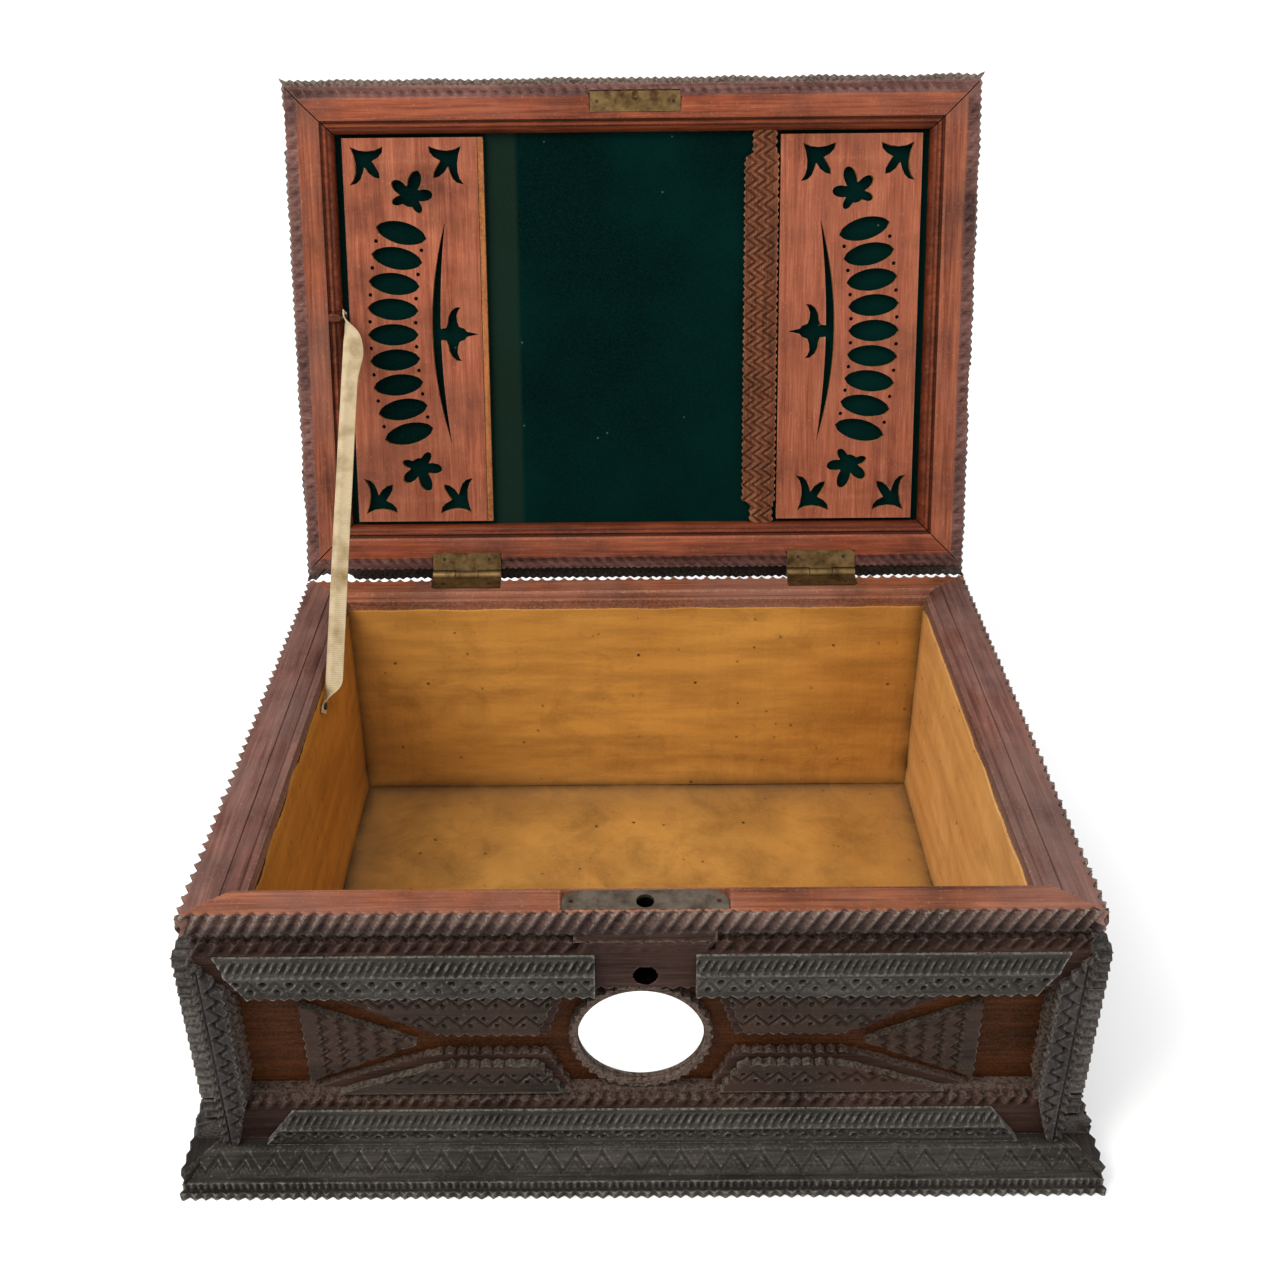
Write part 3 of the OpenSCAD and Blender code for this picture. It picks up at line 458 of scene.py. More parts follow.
@dataclass(frozen=True)
class Mirror:
    """Old silvered glass: near-perfect reflection with a little clouding."""

    name: str = "silvered_glass"
    silver: str = "#f2f4f3"
    cloud: str = "#c9cdc8"
    haze_mm: float = 14.0

    def make(self) -> Material:
        """Build the material.

        Returns:
            The finished material.
        """
        material, add, shader = start_material(self.name)
        haze = add(NOISE, {"Vector": add(PLACE, out="Object"), "Scale": per(self.haze_mm), "Detail": 6.0})
        share = add(RANGE, {0: haze, 1: 0.55, 2: 0.8})
        plug(shader, {"Base Color": add(MIX, {0: share, A: self.silver, B: self.cloud}, MIXED, **COLOURS),
                      "Metallic": 1.0, "Roughness": add(RANGE, {0: haze, 1: 0.4, 2: 0.8, 3: 0.03, 4: 0.2})})
        return material


# Meshes


@dataclass(frozen=True)
class Face:
    """A working plane: where it starts, its two directions and the way out of it, in the closed box, in mm."""

    origin: Point
    a: Point
    b: Point
    out: Point
    body: Body = Body.CASE

    def at(self, a: Array, b: Array, out: Array) -> Array:
        """Turn places in the plane into points of the open box.

        Args:
            a: distance along the first direction.
            b: distance along the second direction.
            out: distance out of the plane.

        Returns:
            Points in metres, one row each.
        """
        flat = [np.asarray(v, float).ravel()[:, None] for v in (a, b, out)]
        points = np.array(self.origin) + flat[0] * self.a + flat[1] * self.b + flat[2] * self.out
        return (opened(points) if self.body is Body.LID else points) * MM


def four_sides(half_w: float, half_d: float, low: float, body: Body = Body.CASE) -> list[Face]:
    """Planes of a frame's front, right, back and left board, each along the board, inwards and up."""
    return [Face((0, -half_d, low), RIGHT, BACK, UP, body), Face((half_w, 0, low), BACK, LEFT, UP, body),
            Face((0, half_d, low), LEFT, FRONT, UP, body), Face((-half_w, 0, low), FRONT, RIGHT, UP, body)]


def opened(points: Array) -> Array:
    """Turn points of the closed lid back about the hinge axis.

    Args:
        points: points of the closed lid, in mm.

    Returns:
        The same points with the lid open.
    """
    moved = points - HINGE
    turn = np.array(Matrix.Rotation(-OPEN_ANGLE, 3, "X"))
    return moved @ turn.T + HINGE


def add_mesh(name: str, points: Array, faces: list[Sequence[int]], material: Material,
             sharp_deg: float = 32.0) -> Piece:
    """Make a mesh object whose faces look outwards.

    Args:
        name: name of the piece.
        points: corner points in metres.
        faces: corner numbers of each face.
        material: what it is made of.
        sharp_deg: edges that turn more than this stay crisp.

    Returns:
        The new object, linked to the scene.
    """
    fans = np.array([(f[0], f[k], f[k + 1]) for f in faces for k in range(1, len(f) - 1)])
    a, b, c = (points[fans[:, k]] for k in range(3))
    if np.einsum("ij,ij->", a, np.cross(b, c)) < 0:
        faces = [tuple(reversed(f)) for f in faces]
    mesh = bpy.data.meshes.new(name)
    mesh.from_pydata(points.tolist(), [], [tuple(int(k) for k in f) for f in faces])
    mesh.polygons.foreach_set("use_smooth", [True] * len(mesh.polygons))
    mesh.set_sharp_from_angle(angle=math.radians(sharp_deg))
    mesh.materials.append(material)
    made = bpy.data.objects.new(name, mesh)
    bpy.context.scene.collection.objects.link(made)
    return made


def dress(piece: Piece, body: Body, slot: str, *nodes: str) -> Piece:
    """Let a piece ride on its body and stand for its CAD nodes.

    Args:
        piece: the object.
        body: body it rides on.
        slot: the record's material slot; not used.
        nodes: CAD nodes it stands for.

    Returns:
        The object.
    """
    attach(piece, body.value)
    if nodes:
        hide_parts(*nodes)
    LOG.info("%s rides on %s for %s", piece.name, body.value, ", ".join(nodes) or "no node")
    return piece


def split(points: Sequence[tuple[float, float]], most: Sequence[float]) -> Array:
    """Cut the sides of a closed outline into short stretches.

    Args:
        points: corners of the outline.
        most: longest stretch on the side that follows each corner; the last one serves the sides left over.

    Returns:
        The finer outline.
    """
    out: list[Array] = []
    ring = np.array(points, float)
    for n, (p, q) in enumerate(zip(ring, np.roll(ring, -1, axis=0))):
        count = max(1, math.ceil(np.linalg.norm(q - p) / most[min(n, len(most) - 1)]))
        out.extend(p + (q - p) * k / count for k in range(count))
    return np.array(out)


def tube(rows: int, ring: int) -> list[list[int]]:
    """Faces of a row of rings, with a cap at each end.

    Args:
        rows: number of rings.
        ring: points in one ring.

    Returns:
        Corner numbers of each face.
    """
    index = np.arange(rows * ring).reshape(rows, ring)
    turned = np.roll(index, -1, axis=1)
    quads = np.stack([index[:-1], turned[:-1], turned[1:], index[1:]], axis=-1).reshape(-1, 4)
    return quads.tolist() + [index[0][::-1].tolist(), index[-1].tolist()]


Relief = Callable[[Array, Array, Array], tuple[Array, Array]]


def sweep(name: str, face: Face, profile: Array, start: Sequence[float], end: Sequence[float], width: float,
          relief: Relief, material: Material, step: float = 0.55, extra: Sequence[float] = (),
          edge: Material | None = None, edge_w: float = 0.0, bead: Material | None = None,
          bead_w: float = 0.0) -> Piece:
    """Draw a moulding along the first direction of a face, with mitred ends.

    Args:
        name: name of the piece.
        face: plane whose first direction it runs along.
        profile: closed section, across the face and out of it.
        start: where it starts at no width and at full width.
        end: where it ends at no width and at full width.
        width: full width.
        relief: shift across and out for each place along, across and out.
        material: what it is made of.
        step: spacing of the sections.
        extra: places along that get a section of their own.
        edge: what the outer edge is made of, if it differs.
        edge_w: width of that edge.
        bead: what the inner moulding is made of, if it differs.
        bead_w: where that moulding starts.

    Returns:
        The new object.
    """
    count = int((end[0] - start[0]) / step) + 1
    share = np.linspace(0, 1, count)
    share = np.unique(np.concatenate([share, (np.array(extra, float) - start[0]) / (end[0] - start[0])]))
    across, out = np.broadcast_arrays(*(profile[None, :, k] for k in (0, 1)))
    first = start[0] + (start[1] - start[0]) * across / width
    last = end[0] + (end[1] - end[0]) * across / width
    along = first + (last - first) * share[:, None]
    across, out = (np.repeat(v, len(share), axis=0) for v in (across, out))
    d_across, d_out = relief(along, across, out)
    points = face.at(along, across + d_across, out + d_out)
    made = add_mesh(name, points, tube(len(share), len(profile)), material)
    near, far = profile[:, 0], np.roll(profile[:, 0], -1)
    if edge:
        made.data.materials.append(edge)
        kinds = (np.maximum(near, far) <= edge_w + 1e-6).astype(int)
        if bead:
            made.data.materials.append(bead)
            kinds[np.minimum(near, far) >= bead_w - 1e-6] = 2
        made.data.polygons.foreach_set("material_index", [*np.tile(kinds, len(share) - 1), 0, 0])
    return made


def slab(name: str, face: Face, outline: Array, thick: float, material: Material) -> Piece:
    """Thicken a closed outline about the origin out of a face, with a second ring a little inside its edge.

    Args:
        name: name of the piece.
        face: plane it lies on.
        outline: closed outline about the origin.
        thick: thickness.
        material: what it is made of.

    Returns:
        The object.
    """
    count = len(outline)
    inner = outline * (1 - 4.0 / np.abs(outline).max(axis=0))
    rings = [(inner, 0.0), (outline, 0.0), (outline, thick), (inner, thick)]
    layers = [face.at(ring[:, 0], ring[:, 1], np.full(count, h)) for ring, h in rings]
    walls = [(n * count + k, n * count + (k + 1) % count, (n + 1) * count + (k + 1) % count, (n + 1) * count + k)
             for n in range(3) for k in range(count)]
    caps = [tuple(range(count))[::-1], tuple(range(3 * count, 4 * count))]
    return add_mesh(name, np.concatenate(layers), walls + caps, material)


Outline = list[tuple[float, float]]
# How far the arrises of a sawn panel are eased, in mm
EASED = 0.12


def pierced(name: str, face: Face, outlines: Sequence[Outline], thick: float, material: Material,
            sawn: Material | None = None) -> Piece:
    """Thicken an outline with holes out of a face.

    Args:
        name: name of the piece.
        face: plane it lies on.
        outlines: the outer line first, then the holes.
        thick: thickness.
        material: what it is made of.
        sawn: finish of its cut edges.

    Returns:
        The new object.
    """
    curve = bpy.data.curves.new(name + "_outline", "CURVE")
    curve.dimensions = "2D"
    curve.fill_mode = "BOTH"
    curve.extrude = thick / 2
    curve.bevel_depth = EASED
    curve.bevel_resolution = 0
    curve.offset = -EASED
    for outline in outlines:
        spline = curve.splines.new("POLY")
        spline.points.add(len(outline) - 1)
        for point, (x, y) in zip(spline.points, outline):
            point.co = (x, y, 0.0, 1.0)
        spline.use_cyclic_u = True
    holder = bpy.data.objects.new(name + "_outline", curve)
    bpy.context.scene.collection.objects.link(holder)
    mesh = bpy.data.meshes.new_from_object(holder.evaluated_get(bpy.context.evaluated_depsgraph_get()))
    bpy.data.objects.remove(holder)
    flat = np.empty(len(mesh.vertices) * 3)
    mesh.vertices.foreach_get("co", flat)
    flat = flat.reshape(-1, 3)
    points = face.at(flat[:, 0], flat[:, 1], np.clip(flat[:, 2] + thick / 2, 0, thick))
    made = add_mesh(name, points, [tuple(p.vertices) for p in mesh.polygons], material)
    bpy.data.meshes.remove(mesh)
    if sawn:
        made.data.materials.append(sawn)
        foot, tip = (Vector(face.at(0, 0, height)[0]) for height in (0, 1))
        for polygon in made.data.polygons:
            polygon.material_index = int(abs(polygon.normal.dot((tip - foot).normalized())) < 0.5)
    return made


Edge = Sequence[tuple[float, float]]
SMOOTH = (False,) * 4
Cut = Callable[[Array, Array], Array]


@dataclass
class Plate:
    """A flat carved board, its two ends given as polylines from the lower edge to the upper one."""

    name: str
    face: Face
    left: Edge
    right: Edge
    thick: float
    cut: Cut
    step: float = 0.5
    notch: float = 4.3
    notch_depth: float = 1.4
    notched: tuple[bool, bool, bool, bool] = (True, True, True, True)
    seed: int = 1
    torn: float = 0.0

    def build(self, material: Material, hole_shade: Material | None = None) -> Piece:
        """Build the board.

        Args:
            material: what it is made of.
            hole_shade: the near-black finish of painted shade that lines a hole cut as deep as it goes.

        Returns:
            The new object.
        """
        low, high = self.left[0][1], self.left[-1][1]
        b = np.linspace(low, high, max(3, int((high - low) / self.step) + 1))
        lefts = np.interp(b, [p[1] for p in self.left], [p[0] for p in self.left])
        rights = np.interp(b, [p[1] for p in self.right], [p[0] for p in self.right])
        widest = float((rights - lefts).max())
        share = np.linspace(0, 1, max(3, int(widest / self.step) + 1))
        a = lefts[:, None] + (rights - lefts)[:, None] * share[None, :]
        b = np.repeat(b[:, None], len(share), axis=1)
        a, b = self.tooth(a, b, lefts, rights, low, high)
        deepest = self.thick - 0.3
        depth = np.clip(self.cut(a, b), 0, deepest)
        front, back = self.face.at(a, b, self.thick - depth), self.face.at(a, b, np.zeros_like(a))
        rows, columns = a.shape
        index = np.arange(rows * columns).reshape(rows, columns)
        grid = np.stack([index[:-1, :-1], index[:-1, 1:], index[1:, 1:], index[1:, :-1]], axis=-1).reshape(-1, 4)
        rim = np.concatenate([index[0, :-1], index[:-1, -1], index[-1, :0:-1], index[:0:-1, 0]])
        used, slim = np.unique(rim), len(front)
        hidden = {int(k): slim + n for n, k in enumerate(used)}
        walls = [(int(q), int(p), hidden[int(p)], hidden[int(q)]) for p, q in zip(rim, np.roll(rim, -1))]
        under = [tuple(hidden[int(k)] for k in rim[::-1])]
        points = np.concatenate([front, back[used]])
        piece = add_mesh(self.name, points, grid.tolist() + walls + under, material)
        # Faces cut as deep as the board goes are lined with painted shade
        if hole_shade:
            piece.data.materials.append(hole_shade)
            for polygon, deep in zip(piece.data.polygons, depth.ravel()[grid].max(axis=1)):
                polygon.material_index = int(deep >= deepest)
        return piece

    def tooth(self, a: Array, b: Array, lefts: Array, rights: Array, low: float,
              high: float) -> tuple[Array, Array]:
        """Draw the notched edges in, less and less away from the edge.

        Args:
            a: places in the first direction.
            b: places in the second direction.
            lefts: left end of each row.
            rights: right end of each row.
            low: lower edge.
            high: upper edge.

        Returns:
            The places drawn in.
        """
        fade = 2.2 * self.notch_depth
        shift_a, shift_b = np.zeros_like(a), np.zeros_like(b)
        if self.notched[0]:
            near = np.clip(1 - (b - low) / fade, 0, 1)
            shift_b += notches(a, self.notch, 0.5, self.notch_depth, self.seed) * near
        if self.notched[2]:
            near = np.clip(1 - (high - b) / fade, 0, 1)
            shift_b -= notches(a, self.notch, 0.5, self.notch_depth, self.seed + 1) * near
        if self.torn:
            rag = 0.5 + 0.5 * wander(a, 0 * b, 17.0, self.seed) + 0.16 * wander(a, 0 * b, 3.0, self.seed)
            shift_b -= self.torn * np.clip(rag, 0, 1) * np.clip(1 - (high - b) / 30.0, 0, 1)
        if self.notched[3]:
            near = np.clip(1 - (a - lefts[:, None]) / fade, 0, 1)
            shift_a += notches(b, self.notch, 0.5, self.notch_depth, self.seed + 2) * near
        if self.notched[1]:
            near = np.clip(1 - (rights[:, None] - a) / fade, 0, 1)
            shift_a -= notches(b, self.notch, 0.5, self.notch_depth, self.seed + 3) * near
        return a + shift_a, b + shift_b


# Carving


def chance(k: Array, seed: float) -> Array:
    """Repeatable numbers between 0 and 1 for whole numbers."""
    return np.modf(np.abs(np.sin(k * 12.9898 + seed * 78.233) * 43758.5453))[0]


def notches(u: Array, pitch: float, half: float, depth: float, seed: float) -> Array:
    """Depth of a row of hand-cut V notches; half is their half width as a share of the pitch.

    Args:
        u: places along.
        pitch: spacing of the cuts.
        half: half width of a notch as a share of the pitch.
        depth: greatest depth.
        seed: which unevenness.

    Returns:
        Depth at each place.
    """
    k = np.round(u / pitch)
    middle = (k + (chance(k, seed) - 0.5) * 0.18) * pitch
    deep = depth * (0.78 + 0.34 * chance(k, seed + 5))
    return deep * np.clip(1 - np.abs(u - middle) / (half * pitch), 0, 1)


def zigzag(u: Array, w: Array, middle: float, rise: float, pitch: float, half: float, depth: float) -> Array:
    """Depth of a V groove that runs in a zigzag along u.

    Args:
        u: places along.
        w: places across.
        middle: middle line of the carving.
        rise: half the height of the zigzag.
        pitch: spacing of the cuts.
        half: half width of a cut.
        depth: greatest depth.

    Returns:
        Depth at each place.
    """
    wobble = 0.12 * pitch * np.sin(u / (3.7 * pitch))
    phase = np.mod((u + wobble) / pitch, 1.0)
    line = middle + rise * (1 - 2 * np.abs(2 * phase - 1))
    slope = 4 * rise / pitch
    return depth * np.clip(1 - np.abs(w - line) / math.sqrt(1 + slope * slope) / half, 0, 1)


def pits(u: Array, w: Array, middle: float, pitch: float, shift: float, radius: float, depth: float) -> Array:
    """Depth of a row of round punched pits.

    Args:
        u: places along.
        w: places across.
        middle: middle line of the carving.
        pitch: spacing of the cuts.
        shift: where the first pit lies.
        radius: radius of a pit.
        depth: greatest depth.

    Returns:
        Depth at each place.
    """
    k = np.round((u - shift) / pitch)
    far = np.hypot(u - shift - (k + (chance(k, 3) - 0.5) * 0.1) * pitch, w - middle)
    return depth * np.clip(1.2 - 1.2 * (far / radius) ** 2, 0, 1)


def pit_rows(u: Array, w: Array, middle: float, apart: float, pitch: float, radius: float, depth: float) -> Array:
    """Depth of two rows of pits, each so far from the middle, out of step by half a pitch."""
    return np.maximum(pits(u, w, middle + apart, pitch, 0.0, radius, depth),
                      pits(u, w, middle - apart, pitch, pitch / 2, radius, depth))


def plain(a: Array, _: Array) -> Array:
    """Depth of a board without carving."""
    return 0 * a


def mirrored(line: Edge) -> Edge:
    """The same line on the other side of the middle."""
    return [(-a, b) for a, b in line]


def groove(w: Array, middle: float, half: float, depth: float) -> Array:
    """Depth of one straight V groove."""
    return depth * np.clip(1 - np.abs(w - middle) / half, 0, 1)


def wander(points_a: Array, points_b: Array, size: float, seed: float) -> Array:
    """Slow smooth noise of about plus or minus 1 over a grid of places."""
    flat = [noise.noise(Vector((x / size, y / size, seed))) for x, y in zip(points_a.ravel(), points_b.ravel())]
    return np.array(flat).reshape(points_a.shape)


def ragged(corners: Outline, pitch: float, depth: float, wear: float, seed: int,
           chips: Sequence[tuple[int, float, float, float]] = ()) -> Array:
    """Cut the sides of an outline into uneven notches, only ever inwards.

    Args:
        corners: corners, counter-clockwise.
        pitch: spacing of the notches.
        depth: their depth.
        wear: slow unevenness of the edge.
        seed: which unevenness.
        chips: number of a side, where a chip starts and ends along it and its depth.

    Returns:
        The finer outline.
    """
    out = []
    ring = np.array(corners, float)
    for n, (p, q) in enumerate(zip(ring, np.roll(ring, -1, axis=0))):
        length = float(np.linalg.norm(q - p))
        along = (q - p) / length
        u = np.arange(0, length, 0.45)
        rag = notches(u, pitch, 0.5, depth, seed + n) + wear * (0.5 + 0.5 * wander(u, 0 * u, 19.0, seed + n))
        for side, first, last, deep in chips:
            if side == n:
                rag += deep * np.clip(np.minimum(u - first, last - u) / 1.2, 0, 1)
        rag *= np.clip(np.minimum(u, length - u) / 2, 0, 1)
        out.append(p + along * u[:, None] + np.array((-along[1], along[0])) * rag[:, None])
    return np.concatenate(out)


# Sub-assemblies


def made_of(finish: Finish) -> Material:
    """Give a field that holds the material of a finish."""
    return field(default_factory=finish.make)


@dataclass(frozen=True)
class Finishes:
    """Every finish of the box, made once."""

    carved: Material = made_of(Wood(
        "dark_stained_carved_wood", "#1b1816", "#312d29", "#403c37", "#87857c", "#0a0706", worn_amount=0.75,
        speck_amount=0.28))
    carved_low: Material = made_of(Wood(
        "dark_stained_inset_wood", "#16120e", "#29231e", "#372f28", "#746d61", "#080504", worn_amount=0.65,
        speck_amount=0.22, shine=0.08, dust="#3a271f", dust_amount=0.7))
    carved_up: Material = made_of(Wood(
        "dark_stained_upright_wood", "#191513", "#2c2725", "#393330", "#78726b", "#0a0706", worn_amount=0.55,
        speck_amount=0.22, grain=Grain.ALONG_Z))
    # Darker copy of the carved wood for the sides and the back: painted shade
    carved_shaded_side: Material = made_of(Wood(
        "dark_stained_shaded_side_wood", "#171311", "#282321", "#35302d", "#67615b", "#0a0706", worn_amount=0.5,
        speck_amount=0.2, grain=Grain.ALONG_Y))
    layer: Material = made_of(Wood(
        "red_brown_layer_wood", "#1d120e", "#33221c", "#44302a", "#75675d", "#0b0605", worn_amount=0.55,
        speck_amount=0.15, shine=0.06))
    panel: Material = made_of(Wood(
        "brown_panel_wood", "#190b04", "#331708", "#46230d", "#65401f", "#0d0503", worn_amount=0.2,
        speck_amount=0.15, shine=0.05))
    # Near-black wood for the keyhole and the lock's holes: painted shade
    hole_shade: Material = made_of(Wood(
        "painted_shade_hole_wood", "#020101", "#040202", "#060403", "#080504", "#010101", shine=0.0))
    rim: Material = made_of(Wood(
        "worn_red_rim_wood", "#5a2c1c", "#814930", "#965b3f", "#c29a80", "#220f09", worn_amount=0.5, coat=0.05,
        dust="#745750", dust_amount=0.4))
    rim_side: Material = made_of(Wood(
        "dusty_side_rim_wood", "#47271f", "#69433a", "#7e564a", "#a5897b", "#20110d", grain=Grain.ALONG_Y,
        worn_amount=0.5, dust_amount=0.5))
    lid_rail: Material = made_of(Wood(
        "polished_red_lid_wood", "#55220f", "#85422a", "#9f5634", "#c78a66", "#1c0a05", worn_amount=0.4, coat=0.12,
        rough=0.42, dust="#7d5345", dust_amount=0.3))
    lid_rail_up: Material = made_of(Wood(
        "polished_red_lid_side_wood", "#5a2716", "#83452d", "#9a5a3d", "#bd8a72", "#1c0a05", grain=Grain.UP_LID,
        worn_amount=0.4, coat=0.12, rough=0.42, dust="#7d5a4e", dust_amount=0.35))
    # Darker copy of the rail wood for the bead, cove and inner wall: the bead's own dark red with painted shade in
    # the cove
    bead: Material = made_of(Wood(
        "dark_red_bead_and_shade_wood", "#3a160a", "#622b17", "#7d3c20", "#a8694a", "#140603", worn_amount=0.35, coat=0.12,
        rough=0.42))
    fret: Material = made_of(Wood(
        "pierced_cedar", "#743a27", "#935139", "#aa674b", "#c08d70", "#2a130b", grain=Grain.UP_LID, grain_mm=0.7,
        worn_amount=0.35, cut_dirt_and_shade=0.4, dust="#86503d", dust_amount=0.4))
    fret_edge: Material = made_of(Wood(
        "sawn_cedar_edge", "#66351b", "#8d5029", "#a36436", "#bd8654", "#3a1c0c", grain=Grain.UP_LID,
        cut_dirt_and_shade=0.3))
    strip: Material = made_of(Wood(
        "carved_strip_wood", "#3f2012", "#653822", "#7c4c31", "#a87a5c", "#1a0b06", grain=Grain.UP_LID,
        worn_amount=0.6))
    # Its fade is painted shade, darker towards the bottom of the rim's outer face
    edge: Material = made_of(Wood(
        "dark_stained_edge_wood", "#2a1c18", "#543f38", "#69524a", "#93877c", "#12090a", worn_amount=0.8,
        speck_amount=0.3, fade=(112.0, 117.5)))
    lid_edge: Material = made_of(Wood(
        "dusky_lid_edge_wood", "#3f2420", "#63423c", "#7a554c", "#a1857a", "#140a08", worn_amount=0.5,
        rough=0.5))
    lining: Material = made_of(Lining())
    lining_floor: Material = made_of(Lining(
        "stained_ochre_paper", "#b8863f", "#a06f31", "#543714", "#2c190b", stain_low=0.47,
        dusty=0.8))
    # Copies of the paper for the side walls: darker with painted shade on the left, paler with painted light on the
    # right
    lining_shaded: Material = made_of(Lining(
        "shaded_ochre_paper", "#b87a2c", "#a3661c", "#6d4212", "#3a2210"))
    lining_lit: Material = made_of(Lining(
        "lit_ochre_paper", "#dba866", "#cf9650", "#a06c34", "#5a3a1c"))
    velvet: Material = made_of(Velvet())
    brass: Material = made_of(Metal("old_sheet_brass", "#7d6540", "#3f2c18"))
    plate: Material = made_of(Metal("dull_lock_brass", "#776c5f", "#4a4035", rough=0.5))
    iron: Material = made_of(Metal("rusty_iron", "#4a4038", "#2a1d14", rough=0.6))
    black_iron: Material = made_of(Metal("blackened_iron", "#0a0807", "#040303", rough=0.8))
    tape: Material = made_of(Tape())
    mirror: Material = made_of(Mirror())


Box = tuple[float, float, float, float, float]
Boxes = Sequence[Box]


@dataclass(frozen=True)
class Hinges:
    """Where the two butt hinges are let in: their middles, the length and depth of a leaf and its thickness."""

    middles: tuple[float, float] = (-77.0, 85.0)
    length: float = 31.0
    leaf: float = 8.0
    thick: float = 1.05
    room: float = 0.1

    def recesses(self) -> Boxes:
        """Recesses along a back board, which runs from right to left."""
        half = self.length / 2 + self.room
        return [(-x - half, -x + half, -1.0, self.leaf + self.room, self.thick) for x in self.middles]


def sink(u: Array, w: Array, boxes: Boxes) -> Array:
    """Depth of flat recesses, each given as its start and end along, its start and end across and its depth.

    Args:
        u: places along.
        w: places across.
        boxes: recesses to sink.

    Returns:
        Depth at each place.
    """
    depth = np.zeros_like(u)
    for u0, u1, w0, w1, deep in boxes:
        depth = np.where((u > u0) & (u < u1) & (w > w0) & (w < w1), deep, depth)
    return depth


def box_edges(boxes: Boxes) -> list[float]:
    """Places along where a recess needs sections of its own."""
    return [place for u0, u1, *_ in boxes for place in (u0 - 0.02, u0 + 0.02, u1 - 0.02, u1 + 0.02)]


@dataclass
class Rim:
    """The four mitred rim boards with a rope-notched outer edge and a moulded inner one."""

    half_w: float = 150.0
    half_d: float = 107.0
    low: float = 112.0
    thick: float = 9.0
    widths: tuple[float, float] = (15.0, 20.0)
    rope: float = 5.0
    rope_depth: float = 2.2
    rope_slant: float = -0.55
    lock: Box = (-25.7, 28.7, 2.1, 11.15, 1.3)
    bolt_slot: Box = (-16.0, 8.4, 3.4, 8.6, 8.2)
    link_hole: Box = (-2.0, 5.0, 2.6, 9.4, 9.3)

    def profile(self, width: float) -> Array:
        """Section of one rim board: outer face, flat top, groove, rounded moulding and a small step.

        Args:
            width: full width of the board.

        Returns:
            The closed section.
        """
        t, i = self.thick, width
        share = 0.5 if width < 18 else 1.0
        mould = [(7.7, 0.0), (7.4, 0.55), (7.0, 0.1), (5.4, 0.4), (4.0, 1.0), (2.7, 1.9), (2.5, 2.4), (1.0, 2.7),
                 (0.0, 3.2)]
        corners = [(0, 0), (0, t), (0.7, t), (1.4, t), (2.4, t), (4.0, t), (i - 7.7 * share - 0.5, t)]
        corners += [(i - w * share, t - drop) for w, drop in mould] + [(i, 0)]
        return split(corners, [0.75, 0.7, 0.7, 0.8, 1.0, 2.0] + [1.0] * 9 + [4.0, 30.0])

    def carve(self, boxes: Boxes, seed: int) -> Relief:
        """Give the relief of one board.

        Args:
            boxes: recesses to sink.
            seed: which unevenness.

        Returns:
            What gives the shift across and out for each place.
        """

        def relief(u: Array, w: Array, h: Array) -> tuple[Array, Array]:
            """Slanted notches on the outer edge and flat recesses on top.

            Args:
                u: places along.
                w: places across.
                h: heights out of the face.

            Returns:
                Shift across and shift out.
            """
            cut = notches(u + self.rope_slant * h, self.rope, 0.5, self.rope_depth, seed)
            inward = cut * np.clip(1 - w / 2.6, 0, 1)
            top = h > self.thick - 0.01
            droop = 0.6 * cut * np.clip(1 - w / 1.8, 0, 1) * top
            wear = 0.18 * wander(u, w, 9.0, seed) * top * (w < 11)
            return inward, np.where(top, -sink(u, w, boxes), 0.0) - droop + np.minimum(wear, 0)

        return relief

    def build(self, looks: Finishes) -> None:
        """Build and dress the boards.

        Args:
            looks: the finishes.
        """
        boxes = {"front": [self.lock, self.bolt_slot, self.link_hole], "back": Hinges().recesses()}
        for k, (side, face) in enumerate(zip(SIDES, four_sides(self.half_w, self.half_d, self.low))):
            half, width, inset = (self.half_w, self.half_d)[k % 2], self.widths[k % 2], self.widths[1 - k % 2]
            sunk = boxes.get(side, [])
            piece = sweep(f"rim_{side}_board", face, self.profile(width), (-half, inset - half), (half, half - inset),
                          width, self.carve(sunk, k), (looks.rim, looks.rim_side)[k % 2], extra=box_edges(sunk),
                          edge=looks.edge, edge_w=0.7)
            # The lock's holes under the plate take painted shade
            self.blacken(piece, looks.hole_shade)
            dress(piece, Body.CASE, "mahogany", f"rim_{side}")

    def blacken(self, piece: Piece, hole_shade: Material) -> None:
        """Give the lock's holes, where the plate shades them, a near-black finish of painted shade.

        Args:
            piece: the object.
            hole_shade: near-black finish of painted shade for the holes.
        """
        piece.data.materials.append(hole_shade)
        front, floor, mouth = -self.half_d, self.low + 0.1, self.low + self.thick - 1.8
        x0, x1, *_ = self.bolt_slot
        near, far = self.link_hole[2] + 0.2, self.link_hole[3] + 0.2
        for polygon in piece.data.polygons:
            x, y, z = (c / MM for c in polygon.center)
            if x0 < x < x1 and near < y - front < far and (floor < z < mouth or z < self.low - 0.1):
                polygon.material_index = 2


